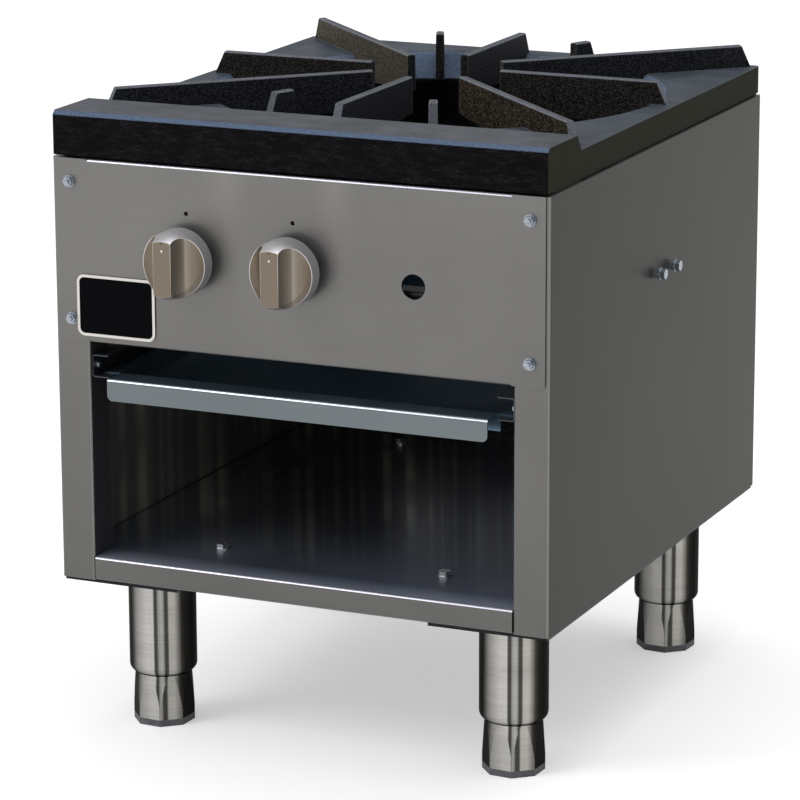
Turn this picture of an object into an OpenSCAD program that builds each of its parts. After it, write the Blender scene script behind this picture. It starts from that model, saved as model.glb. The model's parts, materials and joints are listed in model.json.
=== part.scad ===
// Stock pot range: a low single burner gas range on four legs, with a cast-iron top grate,
// a three-ring burner with two valves, a drip tray and an open storage cabinet.
// Origin: centre of the footprint, on the floor. +Z is up and the control panel faces -Y.

/* [Cabinet] */
// Width over the side panels
body_w = 457; // [440:1:480]
// Depth from the stile faces to the rear flanges
body_d = 521; // [512:1:545]
// Height of the cabinet without legs and grate
body_h = 373; // [366:1:400]
// Height of the cabinet's underside above the floor
floor_clear = 145; // [136:1:160]
// Thickness of the cabinet sheet
sheet_t = 1.5; // [1.2:0.1:1.8]
// Bend radius at the middle of the sheet
bend_r = 2.2; // [1.8:0.1:2.6]
// Width of the front stile of a side panel
stile_w = 32; // [29:1:34]
// Depth of the flange that turns back from the stile
stile_return = 35; // [32:1:40]
// Width of the top, bottom and rear flanges of a side panel
edge_flange = 20; // [16:1:24]
// Height of the storage floor above the cabinet's underside
sill_h = 21; // [18:0.5:26]
// Depth of the flange under the front sill
sill_fold = 12; // [8:1:16]

/* [Base rails and legs] */
// Thickness of the base rails
rail_t = 3; // [2.5:0.1:3.5]
// Distance of a base rail's web from the middle
rail_web_x = 116; // [110:1:122]
// Width of a base rail's upper flange
rail_flange = 20; // [16:1:24]
// Setback of the base rails' ends from the cabinet's front and back
rail_setback = 3; // [2:0.5:6]
// Distance of a leg's axis from the cabinet's side
leg_inset_x = 60; // [54:1:66]
// Distance of a leg's axis from the cabinet's front or back
leg_inset_y = 72; // [52:1:80]
// Diameter of a leg tube
leg_d = 60; // [56:1:64]
// Wall of a leg tube
leg_wall = 2; // [1.5:0.1:3]
// Radius of the rounded lower end of a leg tube
leg_round = 7; // [5:0.5:9]
// Height of an adjustable foot with its pad
foot_h = 46.5; // [40:0.5:52]
// Diameter of a foot at its top
foot_top_d = 50.5; // [48:0.5:52]
// Width of a foot across its lower corners
foot_corner_d = 54.5; // [53:0.5:56]
// Height of a foot's rubber pad
pad_h = 6; // [5:0.5:8]
// Diameter of a foot's threaded stem
stem_d = 12; // [10:1:14]

/* [Control panel] */
// Height of the control panel
panel_h = 159.5; // [154:0.5:164]
// Distance of the panel's side edge from the cabinet's side
panel_inset = 3.5; // [2:0.5:5]
// Radius of the panel's lower corners
panel_corner_r = 3.5; // [2:0.5:6]
// Depth of the flange at the panel's top
panel_fold = 30; // [24:1:34]
// Depth of the flange at the panel's bottom
panel_hem = 15; // [10:1:20]
// Width of the notch at each end of the panel's flanges
panel_notch = 29; // [27:0.5:31]
// Distance of the panel screws from the panel's side edge
panel_screw_inset = 13.5; // [11:0.5:15]
// Distance of the panel screws from the panel's top and bottom edge
panel_screw_margin = 20; // [16:1:24]
// Diameter of the lighting hole
light_hole_d = 21.5; // [18:0.5:26]
// Distance of the lighting hole to the right of the middle
light_hole_x = 107.9; // [98:0.1:116]
// Depth of the lighting hole's centre below the panel's top
light_hole_drop = 84.3; // [78:0.1:88]
// Width of the blank plate
plate_w = 74.5; // [70:0.5:76]
// Height of the blank plate
plate_h = 53.6; // [48:0.1:56]
// Thickness of the blank plate
plate_t = 1.4; // [1:0.1:2]
// Corner radius of the blank plate
plate_r = 7; // [5:0.5:9]
// Width of the raised edge of the blank plate
plate_rim = 2.4; // [1.6:0.1:3]
// Distance of the blank plate from the panel's side edge
plate_inset = 19; // [16:0.5:21]
// Distance of the blank plate from the panel's bottom edge
plate_lift = 5.9; // [4:0.1:9]

/* [Knobs and valves] */
// Place of the outer ring's valve, from the middle to the left
outer_valve_x = 100.8; // [98:0.1:104]
// Place of the inner rings' valve, from the middle to the left
inner_valve_x = 1.6; // [0.5:0.1:5]
// Depth of the valve axes below the panel's top
valve_drop = 78.5; // [77:0.5:80]
// Height of the pilot valves above the valve axes
pilot_rise = 38.8; // [38:0.1:41]
// Diameter of a knob
knob_d = 58; // [54:1:60]
// Gap between the panel and the back of a knob
knob_gap = 10; // [8:0.5:12]
// Distance of a knob's front from the panel
knob_reach = 46; // [43:0.5:50]
// Length of the straight side of a knob
knob_side = 12; // [9:0.5:14]
// Width of a knob's grip bar
grip_w = 16.4; // [14:0.2:20]
// Diameter of a knob at its front
knob_front_d = 47.6; // [44:0.2:50]
// Radius of the hollows beside the grip bar
scoop_r = 22; // [20:0.5:24]
// Diameter of a valve stem
valve_stem_d = 8; // [7:0.5:9]
// Diameter of a valve's body
valve_d = 18; // [17:0.5:19]
// Length of a valve's body
valve_len = 45; // [42:1:48]

/* [Gas pipes] */
// Outside diameter of the manifold and supply pipe
pipe_d = 21.34; // [20:0.01:22]
// Wall of the pipes
pipe_wall = 2.77; // [2.4:0.01:3.2]
// Outside diameter of the inlet nipple
inlet_d = 26.67; // [26:0.01:28]
// Distance of the supply pipe's axis from the cabinet's right side
supply_inset = 48.5; // [47:0.5:56]
// Setback of the manifold's axis from the stile faces
manifold_setback = 26; // [24:1:28]
// Diameter of the pilot tubes
pilot_d = 6.35; // [5:0.05:6.5]

/* [Burner] */
// Distance of the burner's centre behind the middle of the cabinet
burner_y = 36; // [26:1:40]
// Outer radius of the outer ring
ring_r = 125; // [122:1:130]
// Width of each ring
ring_w = 22; // [20:0.5:24]
// Width of the air gap between two rings
ring_gap = 22; // [20:0.5:24]
// Height of each ring
ring_h = 22; // [18:0.5:24]
// Wall of the ring castings
ring_wall = 4; // [3:0.5:5]
// Diameter of a flame port
port_d = 3; // [2:0.1:4]
// Height of the rings' underside above the valve axes
ring_lift = 24.5; // [23.5:0.5:27]
// Outer radius of a mixing tube's rear end
mix_r = 15; // [14:0.5:15.5]
// Outer radius of a mixing tube's throat
throat_r = 13; // [12:0.5:14]
// Wall of a mixing tube
mix_wall = 3; // [2:0.5:4]
// Radius of the flange at a mixing tube's mouth
mouth_r = 32; // [31:0.5:33]
// Setback of the mixing tubes' mouths from the stile faces
mouth_setback = 75; // [72:1:78]
// Radius of an air shutter
shutter_r = 26; // [25:0.5:27]
// Thickness of an air shutter
shutter_t = 2; // [1.5:0.1:2.5]
// Width of the burner support channel
support_w = 52; // [50:1:56]
// Height of the burner support channel
support_h = 28; // [26:1:32]
// Distance of the burner support's middle behind the middle of the cabinet
support_y = 3.5; // [2:0.5:5]
// Spacing of the two side bolts
side_bolt_pitch = 37; // [32:1:38]

/* [Drip tray] */
// Gap between the tray's pan and the stiles' inner edges
tray_gap = 18; // [16.5:0.5:20]
// Distance of the front lip's ends from the stiles' inner edges
lip_gap = 20; // [18.5:0.5:26]
// Height of the tray's front lip
lip_h = 19; // [16:0.5:22]
// Corner radius of the front lip
lip_r = 5; // [3:0.5:7]
// Distance of the lip in front of the stile faces
lip_reach = 7.4; // [5:0.2:10]
// Depth of the flange from the lip to the pan
tray_flange = 23.5; // [21:0.5:26]
// Depth of the tray's pan
tray_depth = 15; // [12:0.5:18]
// Length of the tray's pan, front to back
tray_len = 460; // [430:1:470]
// Drop of the tray's top below the panel's bottom
tray_drop = 29.5; // [27:0.5:36]
// Thickness of the tray and runner sheet
tray_t = 1.2; // [1:0.1:1.4]
// Width of the tray's side rims
tray_rim = 13; // [11.5:0.5:14]
// Height of a tray runner
runner_h = 20.2; // [19:0.2:23]

/* [Top grate] */
// Distance of the grate's side from the cabinet's side
grate_inset = 2; // [1:0.5:4]
// Reach of the grate past the stile faces and the rear flanges
grate_over = 1; // [0.5:0.5:3]
// Gap between the cabinet's top and the grate's underside
grate_gap = 2; // [1.5:0.5:3]
// Height of the grate's rails
rail_h = 24.5; // [22:0.5:28]
// Height of the grate's front band
band_h = 38; // [34:1:42]
// Depth of the front band at its top
band_d = 64.5; // [58:0.5:70]
// Depth of the slanted step behind the front band
band_step = 10; // [6:1:14]
// Bevel on the front band's top edge
band_bevel = 3.5; // [2:0.5:5]
// Width of the rail beside the opening's rounded top edge
rail_side_w = 18.5; // [16:0.5:24]
// Radius of the opening's rounded top edge
opening_round = 7; // [4:0.5:9]
// Slope of the opening's wall
opening_angle = 50; // [46:1:60]
// Height of the fingers above the rails
finger_rise = 20.5; // [16:0.5:26]
// Thickness of a finger
finger_t = 7.4; // [6:0.2:9]
// Radius of the free space at the fingers' inner ends
finger_in = 62.5; // [54:0.5:70]
// Depth of a finger at its inner end
finger_depth = 32.5; // [28:0.5:36]
// Distance of the side fingers' top ends from the grate's side
finger_side_gap = 17; // [15:0.5:22]
// Distance of the front finger's top end from the front band
finger_front_gap = 26; // [22:0.5:30]
// Distance of the rear finger's top end from the grate's rear
finger_rear_gap = 25; // [20:0.5:30]
// Distance of the corner fingers' top ends from the grate's sides
finger_corner_gap = 15; // [14:0.5:20]
// Length of a short finger within the opening's top edge
stub_reach = 32; // [26:0.5:38]
// Length of a short finger's top
stub_top = 19; // [16:0.5:24]

/* [Hidden] */
$fn = 64;

// Overrun of a cut past the face that it opens
over = 1;
// Gap between faces that slide or seat with play
fit = 0.3;
// Gap round a thread or a stem in its bore
thread_fit = 0.08;

// Places that the sizes above give
half_t = sheet_t / 2;
half_w = body_w / 2;
half_d = body_d / 2;
cab_z = floor_clear;
cab_top = cab_z + body_h;
open_x = half_w - stile_w;
supply_x = half_w - supply_inset;
tray_w = 2 * (open_x - tray_gap);
lip_w = 2 * (open_x - lip_gap);
panel_z = cab_top - panel_h;
panel_x = half_w - panel_inset;
panel_front = -half_d - sheet_t;
fold_x = panel_x - panel_notch;
floor_z = cab_z + sill_h;
leg_x = half_w - leg_inset_x;
leg_y = half_d - leg_inset_y;
valve_z = cab_top - valve_drop;
pilot_z = valve_z + pilot_rise;
outer_x = -outer_valve_x;
inner_x = -inner_valve_x;
knob_front = panel_front - knob_reach;
inlet_end = -knob_front;

// Turns the extrusion direction from up to the back or to the right
module along_y() { rotate([-90, 0, 0]) children(); }
module along_x() { rotate([90, 0, 90]) children(); }

// Points of an arc, the angles in degrees
arc_steps = 6;
function arc(cx, cy, r, a1, a2) =
    [for (i = [0:arc_steps]) let (a = a1 + (a2 - a1) * i / arc_steps) [cx + r * cos(a), cy + r * sin(a)]];

// Outline of a sheet bent along the points of its middle line
function unit(v) = v / norm(v);
function left_of(v) = [-v[1], v[0]];
function cross_z(a, b) = a[0] * b[1] - a[1] * b[0];
bend_steps = 4;
function bend_side(p, o) = [
    for (i = [0:len(p) - 1])
        let (
            last = len(p) - 1,
            u = unit(i == 0 ? p[1] - p[0] : p[i] - p[i - 1]),
            v = unit(i == last ? p[last] - p[last - 1] : p[i + 1] - p[i]),
            s = sign(cross_z(u, v)),
            turn = acos(u * v),
            c = p[i] - bend_r * tan(turn / 2) * u + s * bend_r * left_of(u),
            n = -s * left_of(u),
            steps = (i == 0 || i == last) ? 0 : bend_steps
        )
        for (k = [0:steps])
            let (a = s * turn * k / max(steps, 1))
            steps == 0
                ? p[i] + o * left_of(u)
                : c + (bend_r - s * o) * [n[0] * cos(a) - n[1] * sin(a), n[0] * sin(a) + n[1] * cos(a)]
];
function reversed(p) = [for (i = [len(p) - 1:-1:0]) p[i]];
function bent_outline(p, t) = concat(bend_side(p, t / 2), reversed(bend_side(p, -t / 2)));
module bent_sheet(p, t, length) {
    linear_extrude(length) polygon(bent_outline(p, t));
}

// Box between two corners
module block(a, b) { translate(a) cube(b - a); }

// Rectangle with round corners, its lower left corner at the origin
module round_rect(w, h, r) {
    translate([r, 0]) square([w - 2 * r, h]);
    translate([0, r]) square([w, h - 2 * r]);
    for (x = [r, w - r], y = [r, h - r]) translate([x, y]) circle(r);
}

// Copies the children to the left and right, or to the four corners
module both_sides() {
    children();
    mirror([1, 0, 0]) children();
}
module four_corners() {
    both_sides() {
        children();
        mirror([0, 1, 0]) children();
    }
}

// Screws and bolts: the head's underside at the origin, the head towards +Z
hex_sides = 6;
screw_hole = 0.3;
module hex(across_flats, h) { cylinder(d = across_flats / cos(180 / hex_sides), h = h, $fn = hex_sides); }
module fastener(shank_d, shank_len, flange_d, flange_h, head_af, head_h) {
    translate([0, 0, -shank_len]) cylinder(d = shank_d, h = shank_len + flange_h);
    cylinder(d = flange_d, h = flange_h);
    translate([0, 0, flange_h]) hex(head_af, head_h);
}
// Hole for a shank, from -Z to +Z through the origin
module shank_hole(shank_d, reach) {
    translate([0, 0, -reach]) cylinder(d = shank_d + 2 * screw_hole, h = 2 * reach);
}

// Panel screws
panel_screw_d = 4.2;
panel_screw_len = 12;
panel_flange_d = 10.6;
panel_flange_h = 1.2;
panel_head_af = 7.5;
panel_head_h = 3.6;
panel_stud_d = 4.4;
panel_stud_h = 1.6;
panel_screw_x = panel_x - panel_screw_inset;
panel_screw_zs = [panel_z + panel_screw_margin, cab_top - panel_screw_margin];
module at_panel_screws() {
    for (x = [-panel_screw_x, panel_screw_x], z = panel_screw_zs)
        translate([x, panel_front, z]) rotate([90, 0, 0]) children();
}

// Side bolts, two on each side, that hold the burner support
side_bolt_d = 6;
side_bolt_len = 14;
side_collar_d = 7.6;
side_collar_h = 3.6;
side_flange_d = 10.6;
side_flange_h = 1.5;
side_head_af = 8.4;
side_head_h = 4.8;
support_top = valve_z - mix_r - side_collar_h - sheet_t;
side_bolt_z = support_top - support_h / 2;
module at_side_bolts() {
    both_sides()
        for (y = [-side_bolt_pitch / 2, side_bolt_pitch / 2])
            translate([half_w, support_y + y, side_bolt_z]) rotate([0, 90, 0]) children();
}

// Screws that hold the tray runners to the stile returns
runner_screw_d = 4;
runner_screw_len = 5;
runner_head_d = 8;
runner_head_h = 1;
runner_head_af = 6;
runner_hex_h = 2;
tray_top = panel_z - tray_drop;
runner_web_x = open_x - tray_t;
runner_floor = tray_top - 2 * tray_t;
runner_screw_z = runner_floor + runner_h / 2;
runner_setback = 3.5;
runner_screw_y = -half_d + runner_setback + runner_head_d;
module at_runner_screws() {
    both_sides()
        translate([runner_web_x, runner_screw_y, runner_screw_z]) rotate([0, -90, 0]) children();
}

// Screws of the back panel, three on each side
back_screw_d = 4.2;
back_screw_len = 8;
back_head_d = 8.4;
back_head_h = 0.9;
back_head_af = 6.4;
back_hex_h = 2.4;
back_screw_share = [0.12, 0.5, 0.88];
module at_back_screws() {
    both_sides()
        for (s = back_screw_share)
            translate([half_w - edge_flange / 2, half_d, cab_z + body_h * s]) rotate([-90, 0, 0]) children();
}

// Bolts that hold the storage floor to the base rails
floor_bolt_d = 6;
floor_bolt_len = 16;
floor_flange_d = 13;
floor_flange_h = 1.2;
floor_head_af = 10;
floor_head_h = 3.6;
floor_nut_h = 5;
floor_bolt_inset = 67.5;
floor_bolt_x = rail_web_x - rail_flange / 2;
floor_bolt_y = half_d - floor_bolt_inset;
module at_floor_bolts() {
    for (x = [-floor_bolt_x, floor_bolt_x], y = [-floor_bolt_y, floor_bolt_y])
        translate([x, y, floor_z]) children();
}

// Cabinet
module side_panel() {
    path = [
        [open_x + half_t, -half_d + stile_return],
        [open_x + half_t, -half_d + half_t],
        [half_w - half_t, -half_d + half_t],
        [half_w - half_t, half_d - half_t],
        [half_w - edge_flange, half_d - half_t]
    ];
    difference() {
        union() {
            translate([0, 0, cab_z]) bent_sheet(path, sheet_t, body_h);
            for (z = [cab_z, cab_top - sheet_t])
                block([half_w - edge_flange, -half_d + half_t, z],
                    [half_w - half_t, half_d - half_t, z + sheet_t]);
        }
        at_panel_screws() shank_hole(panel_screw_d, panel_screw_len + over);
        at_side_bolts() shank_hole(side_bolt_d, side_bolt_len);
        at_runner_screws() shank_hole(runner_screw_d, runner_screw_len);
        at_back_screws() shank_hole(back_screw_d, back_screw_len);
    }
}
module side_panel_right() { color("slategray") side_panel(); }
module side_panel_left() { color("slategray") mirror([1, 0, 0]) side_panel(); }

// Panel at the back, seated against the inside of the rear flanges, with rows of vent slots
slot_w = 56;
slot_h = 6;
slot_pitch = 16;
slot_rows = 5;
slot_columns = 4;
back_y = half_d - 2 * sheet_t;
supply_z = valve_z + valve_d / 2 + fit + pipe_d / 2;
module back_panel() {
    x = half_w - sheet_t - bend_r;
    vent_z = cab_z + body_h / 2;
    color("silver") difference() {
        block([-x, back_y, cab_z + sheet_t + fit], [x, half_d - sheet_t, cab_top - sheet_t - fit]);
        for (i = [0:slot_columns - 1], k = [0:slot_rows - 1])
            translate([(i - (slot_columns - 1) / 2) * (slot_w + slot_pitch) - slot_w / 2, half_d,
                vent_z - k * slot_pitch])
                rotate([90, 0, 0]) linear_extrude(4 * sheet_t)
                    round_rect(slot_w, slot_h, slot_h / 2 - slot_h / 100);
        at_back_screws() shank_hole(back_screw_d, back_screw_len);
        translate([supply_x, back_y - over, supply_z]) along_y()
            cylinder(d = inlet_d + 2 * over, h = 4 * sheet_t);
    }
}

// Storage floor with the front sill
sill_gap = 0.5;
module floor_panel() {
    x = half_w - sheet_t - fit;
    sill_x = open_x - sill_gap;
    deep_y = -half_d + stile_return + fit;
    sill = [
        [-half_d + sill_fold, cab_z + half_t],
        [-half_d + half_t, cab_z + half_t],
        [-half_d + half_t, floor_z - half_t],
        [deep_y + stile_return, floor_z - half_t]
    ];
    color("slategray") difference() {
        union() {
            translate([-sill_x, 0, 0]) along_x() bent_sheet(sill, sheet_t, 2 * sill_x);
            block([-x, deep_y, floor_z - sheet_t], [x, back_y - fit, floor_z]);
        }
        at_floor_bolts() shank_hole(floor_bolt_d, floor_bolt_len);
    }
}

// Control panel, screwed over the stiles
stem_hole_d = valve_stem_d + 8 * over;
pilot_hole_d = 4;
module control_panel() {
    fold = [
        [panel_front + panel_fold, cab_top - half_t],
        [panel_front + half_t, cab_top - half_t],
        [panel_front + half_t, panel_z + half_t],
        [panel_front + panel_hem, panel_z + half_t]
    ];
    color("darkgray") difference() {
        union() {
            translate([-fold_x, 0, 0]) along_x() bent_sheet(fold, sheet_t, 2 * fold_x);
            both_sides() translate([0, -half_d, 0]) rotate([90, 0, 0]) linear_extrude(sheet_t) {
                translate([fold_x - over, panel_z + panel_corner_r])
                    square([panel_notch + over, panel_h - panel_corner_r]);
                translate([fold_x - over, panel_z])
                    square([panel_notch + over - panel_corner_r, panel_corner_r]);
                translate([panel_x - panel_corner_r, panel_z + panel_corner_r]) circle(panel_corner_r);
            }
        }
        at_panel_screws() shank_hole(panel_screw_d, panel_screw_len);
        for (x = [outer_x, inner_x]) {
            translate([x, panel_front - over, valve_z]) along_y() cylinder(d = stem_hole_d, h = 4 * sheet_t);
            translate([x, panel_front - over, pilot_z]) along_y() cylinder(d = pilot_hole_d, h = 4 * sheet_t);
        }
        translate([light_hole_x, panel_front - over, cab_top - light_hole_drop])
            along_y() cylinder(d = light_hole_d, h = 4 * sheet_t);
    }
}

// Blank plate with a raised edge
plate_relief = 0.5;
module name_plate() {
    color("black") translate([-panel_x + plate_inset, panel_front, panel_z + plate_lift]) rotate([90, 0, 0])
        difference() {
            linear_extrude(plate_t) round_rect(plate_w, plate_h, plate_r);
            translate([plate_rim, plate_rim, plate_t - plate_relief])
                linear_extrude(over)
                    round_rect(plate_w - 2 * plate_rim, plate_h - 2 * plate_rim, plate_r - plate_rim);
        }
}

// Rail between the stiles, behind the control panel and under the valves
cross_setback = 6;
cross_d = 24;
cross_h = 20;
cross_top = valve_z - valve_d / 2 - 2 * over - panel_stud_h / 2;
module front_cross_rail() {
    y = -half_d + cross_setback;
    path = [
        [y + half_t, cross_top - cross_h],
        [y + half_t, cross_top - half_t],
        [y + cross_d - half_t, cross_top - half_t],
        [y + cross_d - half_t, cross_top - cross_h]
    ];
    color("silver") translate([-open_x, 0, 0]) along_x() bent_sheet(path, sheet_t, 2 * open_x);
}

// Rail at the top of the back panel
rear_cross_h = 30;
rear_cross_d = 25;
module rear_cross_rail() {
    x = half_w - edge_flange - fit;
    path = [
        [back_y - half_t, cab_top - rear_cross_h],
        [back_y - half_t, cab_top - half_t],
        [back_y - rear_cross_d, cab_top - half_t]
    ];
    color("silver") translate([-x, 0, 0]) along_x() bent_sheet(path, sheet_t, 2 * x);
}

// Rails under the floor that carry the legs
leg_stud_d = 12;
module base_rail() {
    flange_z = floor_z - sheet_t - rail_t / 2;
    web_y = half_d - sill_fold - sill_gap;
    plate_y = half_d - rail_setback;
    path = [
        [rail_web_x - rail_flange, flange_z],
        [rail_web_x, flange_z],
        [rail_web_x, cab_z - rail_t / 2],
        [half_w - sheet_t, cab_z - rail_t / 2]
    ];
    difference() {
        union() {
            translate([0, web_y, 0]) rotate([90, 0, 0]) bent_sheet(path, rail_t, 2 * web_y);
            block([rail_web_x + bend_r, -plate_y, cab_z - rail_t], [half_w - sheet_t, plate_y, cab_z]);
        }
        at_floor_bolts() shank_hole(floor_bolt_d, floor_bolt_len + over);
        for (y = [-leg_y, leg_y]) translate([leg_x, y, cab_z]) shank_hole(leg_stud_d, 2 * rail_t);
    }
}
module base_rail_right() { color("dimgray") base_rail(); }
module base_rail_left() { color("dimgray") mirror([1, 0, 0]) base_rail(); }

// Tray runners: channels open towards the middle
runner_flange = 15.7;
module tray_runner() {
    half = tray_t / 2;
    path = [
        [open_x - runner_flange, runner_floor + half],
        [open_x - half, runner_floor + half],
        [open_x - half, runner_floor + runner_h - half],
        [open_x - runner_flange, runner_floor + runner_h - half]
    ];
    length = back_y + half_d - runner_setback;
    difference() {
        translate([0, back_y, 0]) rotate([90, 0, 0]) bent_sheet(path, tray_t, length);
        at_runner_screws() shank_hole(runner_screw_d, runner_screw_len);
    }
}
module tray_runner_right() { color("gainsboro") tray_runner(); }
module tray_runner_left() { color("gainsboro") mirror([1, 0, 0]) tray_runner(); }

// Drip tray: a pan with side rims on the runners and a front lip to pull
module drip_tray() {
    front = -half_d - lip_reach;
    pan_front = front + tray_flange;
    pan_back = pan_front + tray_len;
    half_tray = tray_w / 2;
    lip = [
        [front + tray_t / 2, tray_top - lip_h + lip_r],
        [front + tray_t / 2, tray_top - tray_t / 2],
        [pan_front + tray_t / 2, tray_top - tray_t / 2]
    ];
    color("lightsteelblue") {
        difference() {
            block([-half_tray, pan_front, tray_top - tray_depth], [half_tray, pan_back, tray_top]);
            block(
                [-half_tray + tray_t, pan_front + tray_t, tray_top - tray_depth + tray_t],
                [half_tray - tray_t, pan_back - tray_t, tray_top + over]
            );
        }
        both_sides()
            block([half_tray - tray_t / 2, pan_front, tray_top - tray_t],
                [half_tray + tray_rim, pan_back, tray_top]);
        translate([-lip_w / 2, 0, 0]) along_x() bent_sheet(lip, tray_t, lip_w);
        translate([-lip_w / 2, front + tray_t, tray_top - lip_h]) rotate([90, 0, 0]) linear_extrude(tray_t) {
            translate([0, lip_r - over]) square([lip_w, 2 * over]);
            translate([lip_r, 0]) square([lip_w - 2 * lip_r, lip_r]);
            for (x = [lip_r, lip_w - lip_r]) translate([x, lip_r]) circle(lip_r);
        }
    }
}

// Channel across the cabinet that carries the burners, bolted to the side panels
support_t = 2.5;
module burner_support() {
    x = half_w - sheet_t;
    y1 = support_y - support_w / 2;
    y2 = support_y + support_w / 2;
    path = [
        [y1 + support_t / 2, support_top - support_h],
        [y1 + support_t / 2, support_top - support_t / 2],
        [y2 - support_t / 2, support_top - support_t / 2],
        [y2 - support_t / 2, support_top - support_h]
    ];
    color("dimgray") difference() {
        union() {
            translate([-x, 0, 0]) along_x() bent_sheet(path, support_t, 2 * x);
            both_sides()
                block([x - support_t, y1 + support_t / 2, support_top - support_h],
                    [x, y2 - support_t / 2, support_top - support_t / 2]);
        }
        at_side_bolts() shank_hole(side_bolt_d, side_bolt_len);
    }
}

// Burner castings: rings of box section, open inside, with flame ports on top
ring_z = valve_z + ring_lift;
ring_top = ring_z + ring_h;
mid_ring_r = ring_r - ring_w - ring_gap;
inner_ring_r = mid_ring_r - ring_w + over + over - ring_gap;
inner_ring_w = ring_w - 2 * over;
module ring(r, w) {
    translate([r - w, 0]) square([w, ring_h]);
}
module ring_core(r, w) {
    translate([r - w + ring_wall, ring_wall]) square([w - 2 * ring_wall, ring_h - 2 * ring_wall]);
}
module ring_casting(r, w) {
    translate([0, burner_y, ring_z]) rotate_extrude() difference() {
        ring(r, w);
        ring_core(r, w);
    }
}
// Two rows of ports in the top of a ring
module ports(r, w, count) {
    for (i = [0:count - 1], s = [-1, 1])
        translate([0, burner_y, ring_top - ring_wall - over]) rotate([0, 0, (i + s / 4) * 360 / count])
            translate([r - w / 2 + s * (w / 2 - ring_wall - port_d), 0, 0])
                cylinder(d = port_d, h = ring_wall + 2 * over, $fn = 16);
}
boss_r = 16;
boss_h = 6;
riser_r = 13;
duct_r = 10;
post_r = 8;
outer_ports = 36;
mid_ports = 24;
inner_ports = 12;
// Radius of a ring's middle, and the place on it in line with its valve
outer_mean = ring_r - ring_w / 2;
outer_riser_y = burner_y - sqrt(outer_mean * outer_mean - outer_x * outer_x);
post_y = support_y + post_r;
function post_x(r) = sqrt(r * r - (burner_y - post_y) * (burner_y - post_y));
module post(x) { translate([x, post_y, support_top]) cylinder(r = post_r,
    h = ring_z - support_top + ring_wall / 2); }
module outer_burner() {
    color("dimgray") difference() {
        union() {
            ring_casting(ring_r, ring_w);
            for (s = [-1, 1]) post(s * post_x(outer_mean));
            translate([outer_x, outer_riser_y, ring_z - boss_h])
                cylinder(r = boss_r, h = boss_h + ring_wall / 2);
        }
        ports(ring_r, ring_w, outer_ports);
        translate([outer_x, outer_riser_y, ring_z - boss_h - over])
            cylinder(r = duct_r - ring_wall, h = boss_h + ring_wall + 2 * over);
    }
}
arm_w = 20;
front_arm_w = 34;
inner_riser_y = burner_y - (mid_ring_r - ring_w + inner_ring_r) / 2;
module arm(w, wall) {
    z1 = ring_z + wall;
    z2 = ring_top - wall;
    y1 = -mid_ring_r + ring_w - 2 * over;
    y2 = -inner_ring_r + 2 * over;
    block([-w / 2 + wall, burner_y + y1 - wall, z1], [w / 2 - wall, burner_y + y2 + wall, z2]);
}
module arms(wall) {
    for (a = [0:90:270])
        translate([0, burner_y, 0]) rotate([0, 0, a]) translate([0, -burner_y, 0])
            arm(a == 0 ? front_arm_w : arm_w, wall);
}
module inner_burner() {
    color("dimgray") difference() {
        union() {
            ring_casting(mid_ring_r, ring_w);
            ring_casting(inner_ring_r, inner_ring_w);
            arms(0);
            for (s = [-1, 1]) post(s * post_x(mid_ring_r - ring_w / 2));
            translate([inner_x, inner_riser_y, ring_z - boss_h])
                cylinder(r = boss_r, h = boss_h + ring_wall / 2);
        }
        arms(ring_wall);
        ports(mid_ring_r, ring_w, mid_ports);
        ports(inner_ring_r, inner_ring_w, inner_ports);
        translate([inner_x, inner_riser_y, ring_z - boss_h - over])
            cylinder(r = duct_r - ring_wall, h = boss_h + ring_wall + 2 * over);
    }
}

// Mixing tubes from the air shutters to the risers under the rings
mouth_y = -half_d + mouth_setback;
mouth_t = 4;
mouth_len = 30;
throat_len = 34;
spider_t = 3;
window_r = 5.5;
window_pitch_r = 17;
hub_r = 9.5;
collar_bore_r = 7;
collar_len = shutter_t + 2 * fit;
window_count = 4;
riser_flange_t = 5;
foot_block_r = 9;
module windows() {
    for (i = [0:window_count - 1]) rotate([0, 0, (i + 1 / 2) * 360 / window_count])
        translate([window_pitch_r, 0, 0])
        translate([0, 0, -over]) cylinder(r = window_r, h = 2 * mouth_t, $fn = 32);
}
module mixing_tube(x, end_y) {
    length = end_y - mouth_y;
    outline = [
        [0, 0], [mouth_r, 0], [mouth_r, mouth_t], [shutter_r + over, mouth_t], [throat_r, mouth_len],
        [throat_r, mouth_len + throat_len], [mix_r, length], [0, length]
    ];
    bore_end_r = mix_r - mix_wall;
    throat_bore_r = throat_r - mix_wall;
    bore = [
        [0, spider_t], [shutter_r - mix_wall, spider_t], [shutter_r - mix_wall, mouth_t],
            [throat_bore_r, mouth_len],
        [throat_bore_r, mouth_len + throat_len], [bore_end_r, length], [0, length]
    ];
    flange_z = ring_z - boss_h - valve_z;
    color("gray") translate([x, mouth_y, valve_z]) difference() {
        union() {
            along_y() rotate_extrude() polygon(outline);
            along_y() translate([0, 0, -collar_len]) cylinder(r = hub_r - thread_fit, h = collar_len + over);
            translate([0, length, 0]) sphere(r = mix_r + over);
            translate([0, length, 0]) cylinder(r = riser_r, h = flange_z);
            translate([0, length, flange_z - riser_flange_t]) cylinder(r = boss_r, h = riser_flange_t);
            translate([0, length, support_top - valve_z]) cylinder(r = foot_block_r,
                h = valve_z - support_top);
        }
        along_y() rotate_extrude() polygon(bore);
        translate([0, length, 0]) sphere(r = bore_end_r + over);
        translate([0, length, 0]) cylinder(r = duct_r - ring_wall, h = flange_z + over);
        along_y() windows();
        along_y() translate([0, 0, -collar_len - over]) cylinder(r = collar_bore_r,
            h = collar_len + spider_t + 2 * over);
        at_shutter_screw() translate([0, 0, -mouth_t]) cylinder(d = shutter_screw_d + screw_hole,
            h = mouth_t + over);
    }
}
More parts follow.
